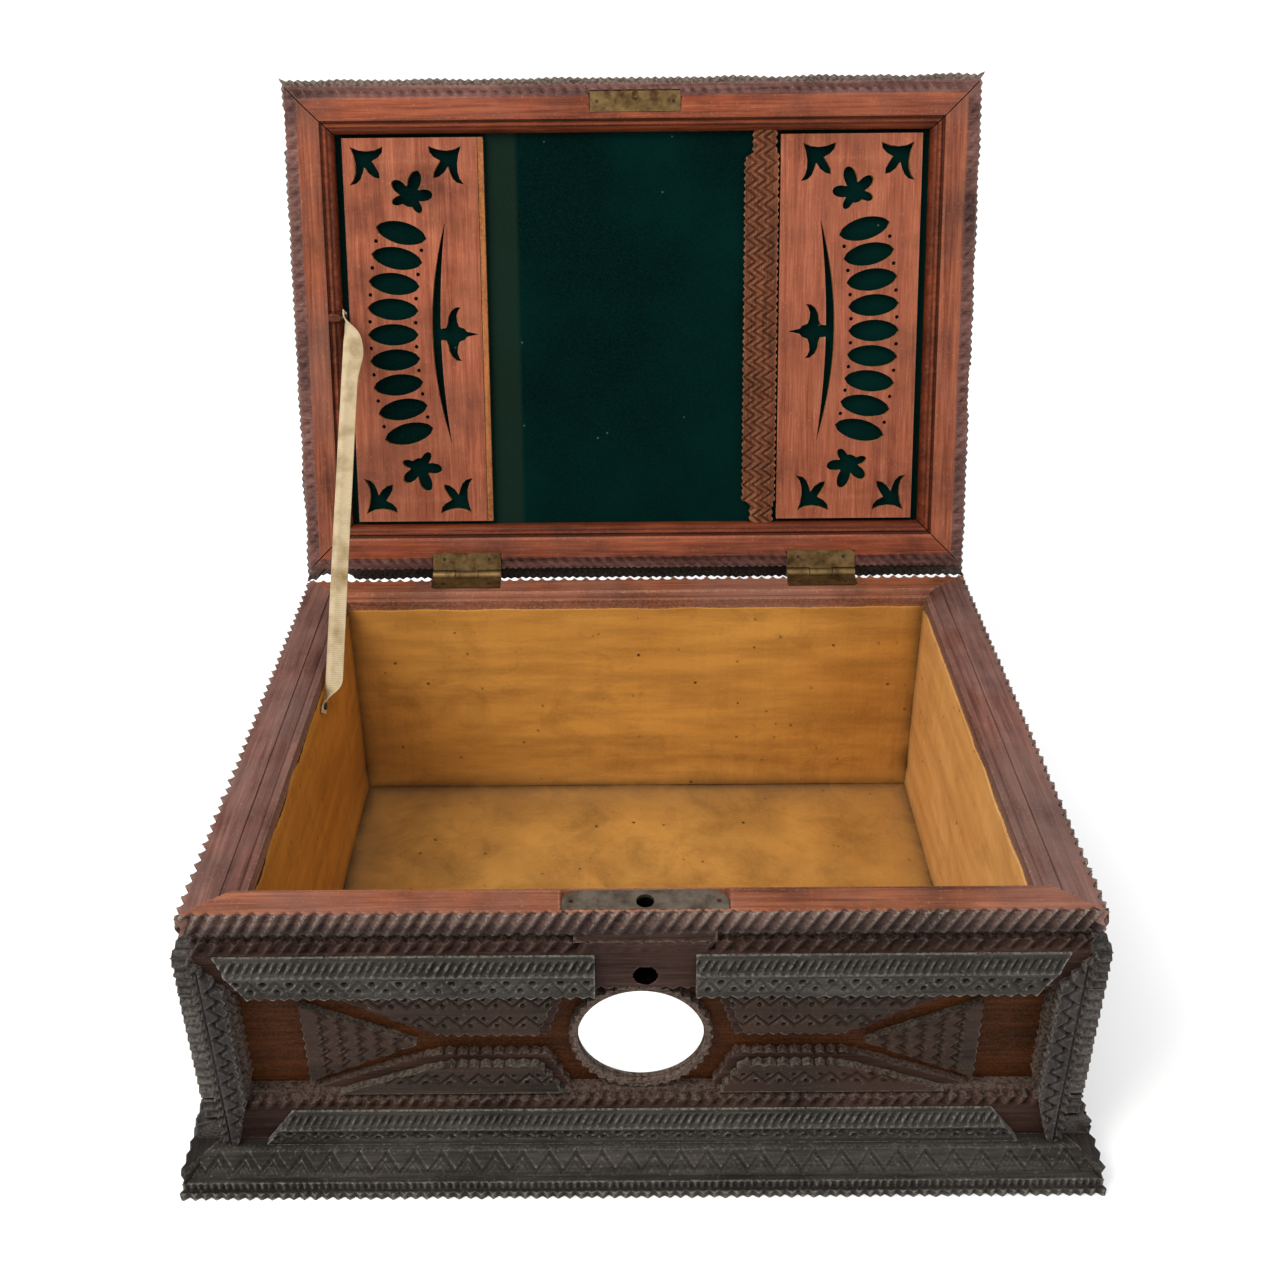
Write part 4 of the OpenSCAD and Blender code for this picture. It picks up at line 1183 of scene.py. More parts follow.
@dataclass
class LidFrame:
    """The four lid rails, with a bead inside and a notched outer edge, in the closed lid."""

    half_w: float = 150.0
    half_d: float = 107.0
    low: float = 121.3
    high: float = 14.0
    width: float = 20.0
    notch: float = 5.0
    notch_depth: float = 1.3
    strike: Box = (-18.1, 21.1, 3.6, 12.3, 1.25)
    stay_u: float = 8.0
    joint: float = 0.35

    def profile(self) -> Array:
        """Section of a rail: flat face, groove, bead and a cove down to the pierced panels.

        Returns:
            The closed section.
        """
        corners = [(0, self.high), (0, 1.5), (3.0, 0.5), (5.6, 0), (6.2, 0), (13.0, 0), (14.2, 0.25), (14.9, 0.9),
                   (15.2, 2.3), (15.7, 2.5), (16.0, 1.9), (16.6, 1.5), (17.3, 1.6), (17.8, 2.2), (18.0, 3.0),
                   (18.8, 3.3), (19.5, 4.2), (20, 5.4), (20, self.high)]
        return split(corners, [1.2, 0.8, 0.8, 0.6, 2.3] + [1.0] * 12 + [5.0, 30.0])

    def carve(self, boxes: Boxes, seed: int) -> Relief:
        """Give the relief of one rail.

        Args:
            boxes: recesses to sink.
            seed: which unevenness.

        Returns:
            What gives the shift across and out for each place.
        """

        def relief(u: Array, w: Array, h: Array) -> tuple[Array, Array]:
            """Slanted notches on the sloped edge, flat recesses in the face and a plug for the stay's nail.

            Args:
                u: places along.
                w: places across.
                h: heights out of the face.

            Returns:
                Shift across and shift out.
            """
            cut = notches(u - 0.5 * w, self.notch, 0.4, self.notch_depth, seed + 20)
            near = np.clip(1 - np.abs(w - 3.4) / 2.6, 0, 1) * (h < 1.6)
            small = notches(u, 3.1, 0.5, 0.7, seed + 25) * (w < 0.1) * np.clip(1.4 - h / 9, 0, 1)
            flat = (h < 0.01) & (w > 6.0)
            wear = 0.15 * wander(u, w, 12.0, seed + 30) * flat * (w < 12.8)
            sunk = np.where((h < 0.6) & (w > 3), sink(u, w, boxes), 0.0)
            plug = np.clip(2.4 - np.abs(u - self.stay_u), 0, 1) * np.maximum(h - 0.45, 0) * ((w > 13) & (h < 6))
            return small, np.maximum(sunk, cut * near) + np.maximum(wear, 0) - plug * (seed == 3)

        return relief

    def build(self, looks: Finishes) -> None:
        """Build and dress the rails.

        Args:
            looks: the finishes.
        """
        boxes = {"front": [self.strike], "back": Hinges().recesses()}
        for k, (side, face) in enumerate(zip(SIDES, four_sides(self.half_w, self.half_d, self.low, Body.LID))):
            half, sunk = (self.half_w, self.half_d)[k % 2] - self.joint, boxes.get(side, [])
            # The bead, cove and inner wall take the darker bead wood, with painted shade in the cove
            piece = sweep(f"lid_rail_{side}_board", face, self.profile(), (-half, self.width - half),
                          (half, half - self.width), self.width, self.carve(sunk, k),
                          (looks.lid_rail, looks.lid_rail_up)[k % 2], extra=box_edges(sunk), edge=looks.lid_edge,
                          edge_w=5.7, bead=looks.bead, bead_w=14.9)
            dress(piece, Body.LID, "mahogany", f"lid_rail_{side}")


@dataclass
class FrontCarving:
    """Everything nailed on the front: boards, bars, posts, triangles and stepped side ornaments."""

    wall: float = -97.0
    layer1: float = -101.0
    layer2: float = -104.5
    bar_t: float = 3.5
    row_top: float = 107.0
    bar_top: tuple[float, float] = (84.0, 101.0)
    bar_low: tuple[float, float] = (13.0, 27.5)
    panel: tuple[float, float] = (33.5, 84.0)
    panel_x: float = 138.5
    layer_x: float = 148.5
    post: tuple[float, float] = (138.0, 149.0)
    bevel: float = 6.5
    bevel_drop: float = 3.0
    pitch: float = 8.9
    key_x: float = 1.5
    key_z: float = 91.5
    key_r: float = 3.75

    def face(self, y: float) -> Face:
        """Plane that looks to the front at the depth y."""
        return Face((0, y, 0), RIGHT, UP, FRONT)

    def bar_cut(self, low: float, high: float) -> Cut:
        """Carving of a bar: a bevel with slanted notches, and a zigzag between two rows of pits.

        Args:
            low: lower edge.
            high: upper edge.

        Returns:
            What gives the depth at each place.
        """
        foot = high - self.bevel
        mid, rise = (low + foot) / 2 + 0.4, (foot - low) / 2 - 2.3

        def cut(a: Array, b: Array) -> Array:
            """Depth at each place.

            Args:
                a: places in the first direction.
                b: places in the second direction.

            Returns:
                Depth at each place.
            """
            slope = np.clip((b - foot) / self.bevel, 0, 1)
            inside = np.clip(1.5 - np.abs(b - foot - 2.4) / 1.9, 0, 1)
            slots = notches(a - 0.55 * (b - foot), 2.9, 0.45, 1.3, 7) * inside
            flat = (b < foot - 0.6)
            fillet = 0.5 * np.clip(np.abs(b - foot) / 0.5 - 0.8, 0, 1)
            lines = zigzag(a, b, mid, rise, self.pitch, 0.8, 0.55)
            dots = np.maximum(pits(a, b, mid + rise * 0.5, self.pitch, 0.0, 1.3, 1.9),
                              pits(a, b, mid - rise * 0.55, self.pitch, self.pitch / 2, 1.1, 1.6))
            return self.bevel_drop * slope * 0.85 + fillet + slots + np.maximum(lines, dots) * flat

        return cut

    def post_cut(self, a: Array, b: Array) -> Array:
        """Carving of a post: rope notches outside, pits and crossed cuts inside.

        Args:
            a: places in the first direction.
            b: places in the second direction.

        Returns:
            Depth at each place.
        """
        across = np.abs(a)
        middle = (self.post[0] + self.post[1]) / 2
        lines = zigzag(b, across, middle - 1.2, 2.2, 7.0, 0.75, 1.0), groove(across, middle + 2.6, 0.6, 1.0)
        rope = notches(b + 0.8 * (across - middle), 4.3, 0.42, 1.3, 9) * (across > middle + 3.0)
        dots = pit_rows(b, across, middle - 1.2, -1.4, 7.0, 0.95, 1.5)
        return np.maximum.reduce([*lines, rope, dots])

    def triangle_cut(self, a: Array, b: Array) -> Array:
        """Carving of a triangle: rows of zigzags and pits that follow its base.

        Args:
            a: places in the first direction.
            b: places in the second direction.

        Returns:
            Depth at each place.
        """
        across = np.abs(a)
        return np.maximum.reduce([np.maximum(zigzag(b, across, at, 1.6, 5.2, 0.75, 1.0),
                                             pits(b, across, at + 0.6, 5.2, 0.0, 0.8, 1.3))
                                  for at in np.arange(84.0, 112.0, 6.4)])

    def ornament_cut(self, low: float, high: float) -> Cut:
        """Carving of an upper side ornament: zigzag lines and pits along it.

        Args:
            low: lower edge.
            high: upper edge.

        Returns:
            What gives the depth at each place.
        """
        rows = [low + (high - low) * share for share in ((0.5,) if high - low < 18 else (0.3, 0.72))]

        def cut(a: Array, b: Array) -> Array:
            """Depth at each place."""
            return np.maximum.reduce([np.maximum(zigzag(a, b, at, 2.3, self.pitch, 0.8, 1.0),
                                                 pit_rows(a, b, at, 1.6, self.pitch, 0.95, 1.5)) for at in rows])

        return cut

    def row_cut(self, a: Array, b: Array) -> Array:
        """Carving of the top board: slanted notches over the bars, and the keyhole.

        Args:
            a: places in the first direction.
            b: places in the second direction.

        Returns:
            Depth at each place.
        """
        inside = np.clip((b - 101.0) / 1.0, 0, 1) * np.clip((107.2 - b) / 0.8, 0, 1)
        shallow = np.where(np.abs(a - self.key_x) < 21, 0.3, 1)
        keyhole = 9.0 * (np.hypot(a - self.key_x, b - self.key_z) < self.key_r)
        return np.maximum(notches(a - 0.6 * (b - 101), 5.8, 0.5, 1.9, 4) * inside * shallow, keyhole)

    def foot_cut(self, a: Array, b: Array) -> Array:
        """Carving of the bottom board: slanted notches over the bottom bar."""
        inside = np.clip((b - 27.6) / 0.8, 0, 1) * np.clip((32.3 - b) / 0.8, 0, 1)
        return notches(a - 0.4 * (b - 27), 5.0, 0.4, 1.5, 5) * inside

    def build(self, looks: Finishes) -> None:
        """Build and dress the pieces.

        Args:
            looks: the finishes.
        """
        self.boards(looks)
        self.bars(looks)
        self.ornaments(looks)

    def boards(self, looks: Finishes) -> None:
        """Build the second layer: a top board, a bottom board and two stiles.

        Args:
            looks: the finishes.
        """
        face, x = self.face(self.layer1), self.layer_x
        top, low = self.panel[1] + 1.4, self.panel[0] - 1.4
        inner = self.panel_x + 1.4
        stile = (False, True, False, True)
        jobs = [("top_board", -x, x, top, self.row_top, self.row_cut, 11, (True,) * 4),
                ("bottom_board", -x, x, 13, low, self.foot_cut, 12, (False, True, True, True)),
                ("stile_left", -x, -inner, low, top, plain, 13, stile),
                ("stile_right", inner, x, low, top, plain, 14, stile)]
        plates = [Plate("front_" + name, face, [(a0, b0), (a0, b1)], [(a1, b0), (a1, b1)], self.bar_t, cut, step=0.6,
                        seed=seed, notched=notched) for name, a0, a1, b0, b1, cut, seed, notched in jobs]
        cover = self.face(self.layer2 + 1.0)
        plates.append(Plate("front_lock_cover", cover, [(-22, 106), (-22, 112)], [(25, 106), (25, 112)], 0.6, plain,
                            step=1.0, notched=SMOOTH))
        # The keyhole, cut as deep as the board goes, is lined with painted shade
        for plate in plates:
            dress(plate.build(looks.layer, looks.hole_shade), Body.CASE, "carved_wood", "front_frame_upper")

    def bars(self, looks: Finishes) -> None:
        """Build the carved bars and posts.

        Args:
            looks: the finishes.
        """
        (low, high), (low2, high2), (x0, x1) = self.bar_top, self.bar_low, self.post
        slant = [(131.0, low), (141.2, high)]
        inner, outer = [(143.5, 13.0), (x0, 34.5), (x0, 87.4), (x1 - 0.6, 101.0)], [(x1, 13.0), (x1, 101.0)]
        cut, cut2 = self.bar_cut(low, high), self.bar_cut(low2, high2)
        under, ends = (True, False, False, False), (False, True, False, True)
        jobs = [("bar_left", "top_bar_left", mirrored(slant), [(-15.25, low), (-15.25, high)], cut, under,
                 looks.carved),
                ("bar_right", "top_bar_right", [(18.25, low), (18.25, high)], slant, cut, under, looks.carved),
                ("bar_bottom", "bottom_bar", [(-133.5, low2), (-123.3, high2)], [(133.5, low2), (123.3, high2)], cut2,
                 SMOOTH, looks.carved),
                ("post_right", "post_right", inner, outer, self.post_cut, ends, looks.carved_up),
                ("post_left", "post_left", mirrored(outer), mirrored(inner), self.post_cut, ends, looks.carved_up)]
        for seed, (name, node, left, right, carving, notched, look) in enumerate(jobs, 21):
            plate = Plate("carved_" + name, self.face(self.layer2), left, right, self.bar_t, carving, seed=seed,
                          notched=notched)
            dress(plate.build(look), Body.CASE, "carved_wood", node)

    def ornaments(self, looks: Finishes) -> None:
        """Build the triangles and the stepped ornaments round the mirror.

        Args:
            looks: the finishes.
        """
        wall, upper = self.face(self.wall), self.face(self.wall - 3.0)
        tip, base, mid, half = 77.0, 117.0, 54.75, 18.25
        outer = [(base, mid - half), (base, mid + half)]
        inner = [(base - 0.8, mid - half), (tip, mid), (base - 0.8, mid + half)]
        for seed, side, left, right in ((31, "right", inner, outer), (32, "left", mirrored(outer), mirrored(inner))):
            plate = Plate("carved_triangle_" + side, wall, left, right, 3.0, self.triangle_cut, seed=seed,
                          notched=(False, True, False, True), notch_depth=1.0)
            dress(plate.build(looks.carved_low), Body.CASE, "carved_wood", "triangle_" + side)
        for inset, face, node, look in ((0.0, wall, "trapezoids_lower", looks.layer),
                                        (3.0, upper, "trapezoids_upper", looks.carved_low)):
            near, far, end = 32.0 + inset, 71.0 - inset, 116.0 - 3 * inset
            above, under = 58.75 + inset, 50.75 - inset
            up = [(near, above), (24.0 + inset, 84.0)], [(far, above), (end, 84.0)]
            low = [(24.0 + inset, 33.5), (near, under)], [(end, 33.5), (far, under)]
            for part, (left, right), notched in (("upper", up, (True, True, False, True)),
                                                 ("lower", low, (False, True, True, True))):
                cut = self.ornament_cut(left[0][1], left[-1][1]) if inset else plain
                for side, ends in (("right", (left, right)), ("left", (mirrored(right), mirrored(left)))):
                    plate = Plate(f"{node}_{part}_{side}", face, *ends, 3.0, cut, seed=41, notched=notched,
                                  step=0.5 if inset else 0.8)
                    dress(plate.build(look), Body.CASE, "carved_wood", node)


@dataclass
class Foot:
    """The plinth: notched foot boards under a carved slope, and plain steps at the sides."""

    half_w: float = 163.0
    half_d: float = 120.0
    wall_x: float = 144.5
    wall_front: float = 97.0
    wall_back: float = 100.0
    base: float = 3.0
    mid: float = 7.0
    top: float = 13.0
    chevron: float = 9.6

    def profile(self, width: float, sloped: bool) -> Array:
        """Section of a plinth board, from its outer foot inwards.

        Args:
            width: full width of the board.
            sloped: whether its outer face slopes.

        Returns:
            The closed section.
        """
        face = [(4.0, self.mid), (10.0, self.top)] if sloped else [(1.5, self.top), (3.0, self.top)]
        corners = [(0, 0), (0, self.base), (1.5, self.base), (1.5, self.mid), *face, (width, self.top), (width, 0)]
        return split(corners, [0.75, 0.8, 0.7, 0.8, 0.55, 3.0, 30.0, 30.0])

    def carve(self, sloped: bool, seed: int) -> Relief:
        """Give the relief of one plinth board.

        Args:
            sloped: whether its outer face slopes.
            seed: which unevenness.

        Returns:
            What gives the shift across and out for each place.
        """

        def relief(u: Array, w: Array, h: Array) -> tuple[Array, Array]:
            """Notches in the foot boards, chevrons on a slope and rope cuts on an upright side.

            Args:
                u: places along.
                w: places across.
                h: heights out of the face.

            Returns:
                Shift across and shift out.
            """
            low = notches(u, 3.9, 0.5, 1.4, seed) * np.clip(1 - w / 1.5, 0, 1) * (h <= self.base)
            small = notches(u, 2.5, 0.4, 0.9, seed + 1) * ((h > self.base + 0.5) & (h < self.mid - 0.4) & (w < 2.0))
            if not sloped:
                upright = (h > self.mid + 0.3) * np.clip(1 - (w - 1.5) / 2, 0, 1)
                return low + small + notches(u + 0.7 * h, 5.6, 0.5, 1.6, seed + 2) * upright, 0 * h
            climb = (h - self.mid) / (self.top - self.mid) * 8.5
            face = (h >= self.mid) & (w > 3.9) & (w < 10.2)
            lines = np.maximum(zigzag(u, climb, 4.2, 3.2, self.chevron, 0.8, 0.8),
                               zigzag(u, climb, 1.6, 3.2, self.chevron, 0.55, 0.5))
            cut = 0.7 * lines * face * np.clip((climb - 0.2) / 0.8, 0, 1)
            return low + small + cut, -cut

        return relief

    def build(self, looks: Finishes) -> None:
        """Build and dress the boards.

        Args:
            looks: the finishes.
        """
        w, d, x, front, back = self.half_w, self.half_d, self.wall_x, self.wall_front, self.wall_back
        spans = [(d - front, (-w, -x), (w, x)), (w - x, (-d, -front), (d, back)), (d - back, (-w, -x), (w, x)),
                 (w - x, (-d, -back), (d, front))]
        for k, (side, face, (width, start, end)) in enumerate(zip(SIDES, four_sides(w, d, 0), spans)):
            sloped = k % 2 == 0
            # The side boards take the darker copy of the carved wood: painted shade
            piece = sweep(f"plinth_{side}_board", face, self.profile(width, sloped), start, end, width,
                          self.carve(sloped, 50 + k), looks.carved if sloped else looks.carved_shaded_side, step=0.6)
            dress(piece, Body.CASE, "carved_wood", f"plinth_{side}")
        # The side steps take the darker copy of the carved wood: painted shade
        for side, name in ((1, "right"), (-1, "left")):
            face = Face((side * 160.0, 0, self.top), (0, side, 0), (-side, 0, 0), UP)
            ends = (-104.5, 100.0) if side > 0 else (-100.0, 104.5)
            corners = [(0, 0), (0, 6.0), (1.2, 8.2), (3.5, 9.0), (11.5, 9.0), (11.5, 0)]
            step = sweep(f"plinth_step_{name}", face, split(corners, [0.8, 0.8, 0.8, 3.0, 30.0]), (ends[0],) * 2,
                         (ends[1],) * 2, 11.5, self.rope, looks.carved_shaded_side, step=0.6)
            dress(step, Body.CASE, "carved_wood", "plinth_steps")

    def rope(self, u: Array, w: Array, h: Array) -> tuple[Array, Array]:
        """Relief of a side step: a slanted rope cut over its outer edge.

        Args:
            u: places along.
            w: places across.
            h: heights out of the face.

        Returns:
            Shift across and shift out.
        """
        near = np.clip(1 - (w - 1.5) / 4.5, 0, 1) * np.clip(h / 1.5, 0, 1) * (w < 8)
        cut = notches(u + 0.8 * h - 0.6 * w, 6.4, 0.5, 1.9, 58) * near
        return cut * (w < 4), -0.6 * cut * (h > 6.5)


@dataclass
class SideCarving:
    """Carved bars, uprights and a lozenge on one of the plain sides."""

    name: str
    node: str
    face: Face
    ends: tuple[float, float]
    foot: float
    thick: float
    layer: float = 4.0
    post: float = 11.0
    bar: tuple[float, float] = (84.0, 101.0)
    middle_z: float = 58.75

    def cut(self, middle: float, upright: bool) -> Cut:
        """Carving of a bar: a zigzag with pits on both sides of it.

        Args:
            middle: middle line of the carving.
            upright: whether the board stands upright.

        Returns:
            What gives the depth at each place.
        """

        def depth(a: Array, b: Array) -> Array:
            """Depth at each place."""
            u, w = (b, a) if upright else (a, b)
            return np.maximum(zigzag(u, w, middle, 2.6, 8.0, 0.8, 1.0), pit_rows(u, w, middle, 1.6, 8.0, 0.95, 1.5))

        return depth

    def build(self, looks: Finishes) -> None:
        """Build and dress the pieces.

        Args:
            looks: the finishes.
        """
        a0, a1 = self.ends
        low, high = self.bar
        top = self.foot + self.post
        plates = [("top", a0, a1, low, high, False), ("low", a0, a1, self.foot, top, False),
                  ("first", a0, a0 + self.post, top + 0.3, low - 0.3, True),
                  ("last", a1 - self.post, a1, top + 0.3, low - 0.3, True)]
        for part, left, right, b0, b1, upright in plates:
            middle = (left + right) / 2 if upright else (b0 + b1) / 2
            plate = Plate(f"{self.name}_{part}", self.face, [(left, b0), (left, b1)], [(right, b0), (right, b1)],
                          self.thick, self.cut(middle, upright), step=0.7, seed=90,
                          notched=(not upright, True, not upright, True))
            # Flat bars and the lozenge take the darker copy of the carved wood: painted shade
            look = looks.carved_up if upright else looks.carved_shaded_side
            dress(plate.build(look), Body.CASE, "carved_wood", self.node)
        mid, reach, blunt = (a0 + a1) / 2, 21.0, 8.6
        face, z = self.face, self.middle_z
        under = Face(tuple(np.array(face.origin) - self.layer * np.array(face.out)), face.a, face.b, face.out)
        half = [(blunt, -reach), (2 * reach, -blunt), (2 * reach, blunt), (blunt, reach)]
        lozenge = Plate(self.name + "_lozenge", under, [(mid - a, b + z) for a, b in half],
                        [(mid + a, b + z) for a, b in half], 3.5, self.cut(z, False), step=0.7, seed=95)
        dress(lozenge.build(looks.carved_shaded_side), Body.CASE, "carved_wood", self.node)


@dataclass
class Inside:
    """The paper-faced lining of the case, a little wavy and torn along the top."""

    half_w: float = 130.0
    front: float = -92.0
    back: float = 92.0
    floor: float = 14.2
    top: float = 114.0
    thick: float = 1.2

    def build(self, looks: Finishes) -> None:
        """Build and dress the five sheets.

        Args:
            looks: the finishes.
        """
        w, t, low, high = self.half_w, self.thick, self.floor, self.top
        y0, y1 = self.front + t, self.back - t
        jobs = [("lining_back", Face((0, self.back, 0), RIGHT, UP, FRONT), -w, w, 1.2, looks.lining),
                ("lining_front", Face((0, self.front, 0), LEFT, UP, BACK), -w, w, 1.0, looks.lining),
                # The left sheet takes painted shade and the right sheet painted light
                ("lining_left", Face((-w, 0, 0), BACK, UP, RIGHT), y0, y1, 5.0, looks.lining_shaded),
                ("lining_right", Face((w, 0, 0), BACK, UP, LEFT), y0, y1, 3.5, looks.lining_lit)]
        for seed, (node, face, a0, a1, torn, look) in enumerate(jobs):
            plate = Plate(node + "_sheet", face, [(a0, low), (a0, high)], [(a1, low), (a1, high)], t,
                          self.waves(60 + seed), step=2.0, notched=SMOOTH, seed=60 + seed, torn=torn)
            dress(plate.build(look), Body.CASE, "lining", node)
        floor = Plate("lining_floor_sheet", Face((0, 0, low - t), RIGHT, BACK, UP),
                      [(-w, self.front), (-w, self.back)], [(w, self.front), (w, self.back)], t, self.waves(70),
                      step=2.0, notched=SMOOTH)
        dress(floor.build(looks.lining_floor), Body.CASE, "lining", "lining_floor")

    def waves(self, seed: int) -> Cut:
        """Give a gentle unevenness, only ever into the sheet."""
        return lambda a, b: (0.35 + 0.3 * wander(a / 3, b, 14.0, seed) + 0.12 * wander(a, b, 9.0, seed)
                             + 0.45 * np.exp(-((b - 25.0 - 2.5 * wander(a, 0 * b, 60.0, seed)) / 4.0) ** 2))


def lobes(leaves: Sequence[tuple[float, float, float]], heart: float, count: int = 96) -> Outline:
    """Outline of leaves that spring from one heart.

    Args:
        leaves: direction in degrees, length and sharpness of each leaf.
        heart: least radius.
        count: number of points.

    Returns:
        Points round the origin.
    """
    out = []
    for turn in np.linspace(0, 2 * math.pi, count, endpoint=False):
        reach = max(length * max(0.0, math.cos(turn - math.radians(way))) ** sharp for way, length, sharp in leaves)
        out.append((max(heart, reach) * math.cos(turn), max(heart, reach) * math.sin(turn)))
    return out


def moved(outline: Outline, x: float, y: float, turn_deg: float = 0.0) -> Outline:
    """Turn an outline and shift it."""
    c, s = math.cos(math.radians(turn_deg)), math.sin(math.radians(turn_deg))
    return [(x + c * p - s * q, y + s * p + c * q) for p, q in outline]


@dataclass
class Fret:
    """A pierced cedar panel in the lid: a bow of pointed ovals, a crescent with a leafy tip and corner sprigs."""

    width: float = 61.5
    half_h: float = 85.2
    outer_x: float = 126.5
    low: float = 127.0
    thick: float = 3.0
    bow_r: float = 190.0
    bow_x: float = 19.0
    ovals: int = 4
    oval_turn: float = 3.4
    oval: tuple[float, float] = (23.0, 9.8)
    crescent_x: float = 36.5
    crescent_w: float = 4.0
    crescent_half: float = 50.0
    crescent_rise: float = 7.5
    sprig_in: tuple[float, float, float] = (3.4, 9.5, 3.6)
    lath: float = 2.6

    def bow(self) -> list[Outline]:
        """Outlines of the pointed ovals, the dots between them and the leafy ends.

        Returns:
            The outlines.
        """
        length, wide = self.oval
        share = np.linspace(0, 1, 15)
        bulge = np.sin(np.pi * share) ** 0.55 * wide / 2
        upper = list(zip(length * (share - 0.5), bulge))
        oval = upper[:-1] + [(p, -q) for p, q in reversed(upper[1:])]
        dot = lobes([(0, 0.9, 0)], 0.9, 12)
        middle = self.bow_x + self.bow_r
        holes = []
        for k in range(-2 * self.ovals, 2 * self.ovals + 1):
            turn = 180 + k * self.oval_turn / 2
            c, s = math.cos(math.radians(turn)), math.sin(math.radians(turn))
            if k % 2 == 0:
                holes.append(moved(oval, middle + self.bow_r * c, self.bow_r * s, turn))
            else:
                holes += [moved(dot, middle + r * c, r * s) for r in (self.bow_r + 10.2, self.bow_r - 10.2)]
        tip = lobes([(0, 11.5, 5), (68, 10, 5), (-68, 10, 5), (128, 8.5, 6), (-128, 8.5, 6)], 4.6)
        for side in (-1, 1):
            turn = 180 + side * self.oval_turn * (self.ovals + 1.45)
            c, s = math.cos(math.radians(turn)), math.sin(math.radians(turn))
            holes.append(moved(tip, middle + self.bow_r * c, self.bow_r * s, turn + side * 90))
        return holes

    def crescent(self) -> Outline:
        """Outline of the crescent and the three-leaved tip that grows from its middle.

        Returns:
            The outline.
        """
        y = np.linspace(-self.crescent_half, self.crescent_half, 61)
        outer = self.crescent_x + self.crescent_rise * (y / self.crescent_half) ** 2
        inner = outer + self.crescent_w * (1 - (y / self.crescent_half) ** 2)
        back = list(zip(outer, y))
        stem = self.crescent_x + self.crescent_w
        leaf = [(0, 2.6), (2.2, 2.9), (3.0, 5.0), (3.3, 7.6), (4.6, 10.2), (6.8, 11.9), (9.2, 12.0), (8.0, 10.6),
                (7.2, 8.4), (7.4, 5.6), (8.2, 3.4), (10.6, 2.5), (11.6, 1.2), (17.0, 0.0)]
        tip = [(stem + p, q) for p, q in leaf + [(p, -q) for p, q in reversed(leaf[:-1])]]
        top = [(p, q) for p, q in zip(inner[::-1], y[::-1]) if q > 3.2]
        low = [(p, q) for p, q in zip(inner[::-1], y[::-1]) if q < -3.2]
        return back[1:] + top[1:] + tip + low[:-1]

    def sprigs(self) -> list[Outline]:
        """Outlines of the corner sprigs: two horns along the edges and a leaf that points inwards.

        Returns:
            The outlines.
        """
        horn = [(0, 0), (3.5, 1.5), (7, 1.9), (10.5, 1.4), (14.4, 0), (14.0, 2.6), (12.2, 4.6), (9.4, 6.2),
                (11.0, 8.6), (12.4, 11.2), (12.6, 13.6), (10.0, 13.0), (7.6, 11.2), (6.0, 8.8), (5.4, 11.0),
                (4.2, 13.8), (2.4, 15.6), (-0.8, 16.4), (0.9, 14.0), (1.8, 11.0), (1.9, 7.4), (1.2, 3.4)]
        outer, inner, edge = self.sprig_in
        top = self.half_h - edge
        return [[(x + way * p, side * (top - q)) for p, q in horn]
                for x, way in ((outer, 1), (self.width - inner, -1)) for side in (-1, 1)]

    def build(self, side: int, node: str, looks: Finishes) -> None:
        """Build and dress one panel.

        Args:
            side: -1 for the left panel, 1 for the right one.
            node: CAD node it stands for.
            looks: the finishes.
        """
        end, h = self.width - (self.lath if side < 0 else 0), self.half_h
        line = [(0, -h), (end, -h), (end, h), (0, h)]
        face = Face((side * self.outer_x, 0, self.low), (-side, 0, 0), BACK, UP, Body.LID)
        holes = [self.crescent(), *self.bow(), *self.sprigs()]
        piece = pierced(node + "_panel", face, [line, *holes], self.thick, looks.fret, looks.fret_edge)
        dress(piece, Body.LID, "cedar", node)
        if side < 0:
            edge = [(end + 0.3, -h), (self.width, -h), (self.width, h), (end + 0.3, h)]
            dress(pierced(node + "_lath", face, [edge], self.thick, looks.fret_edge), Body.LID, "cedar", node)


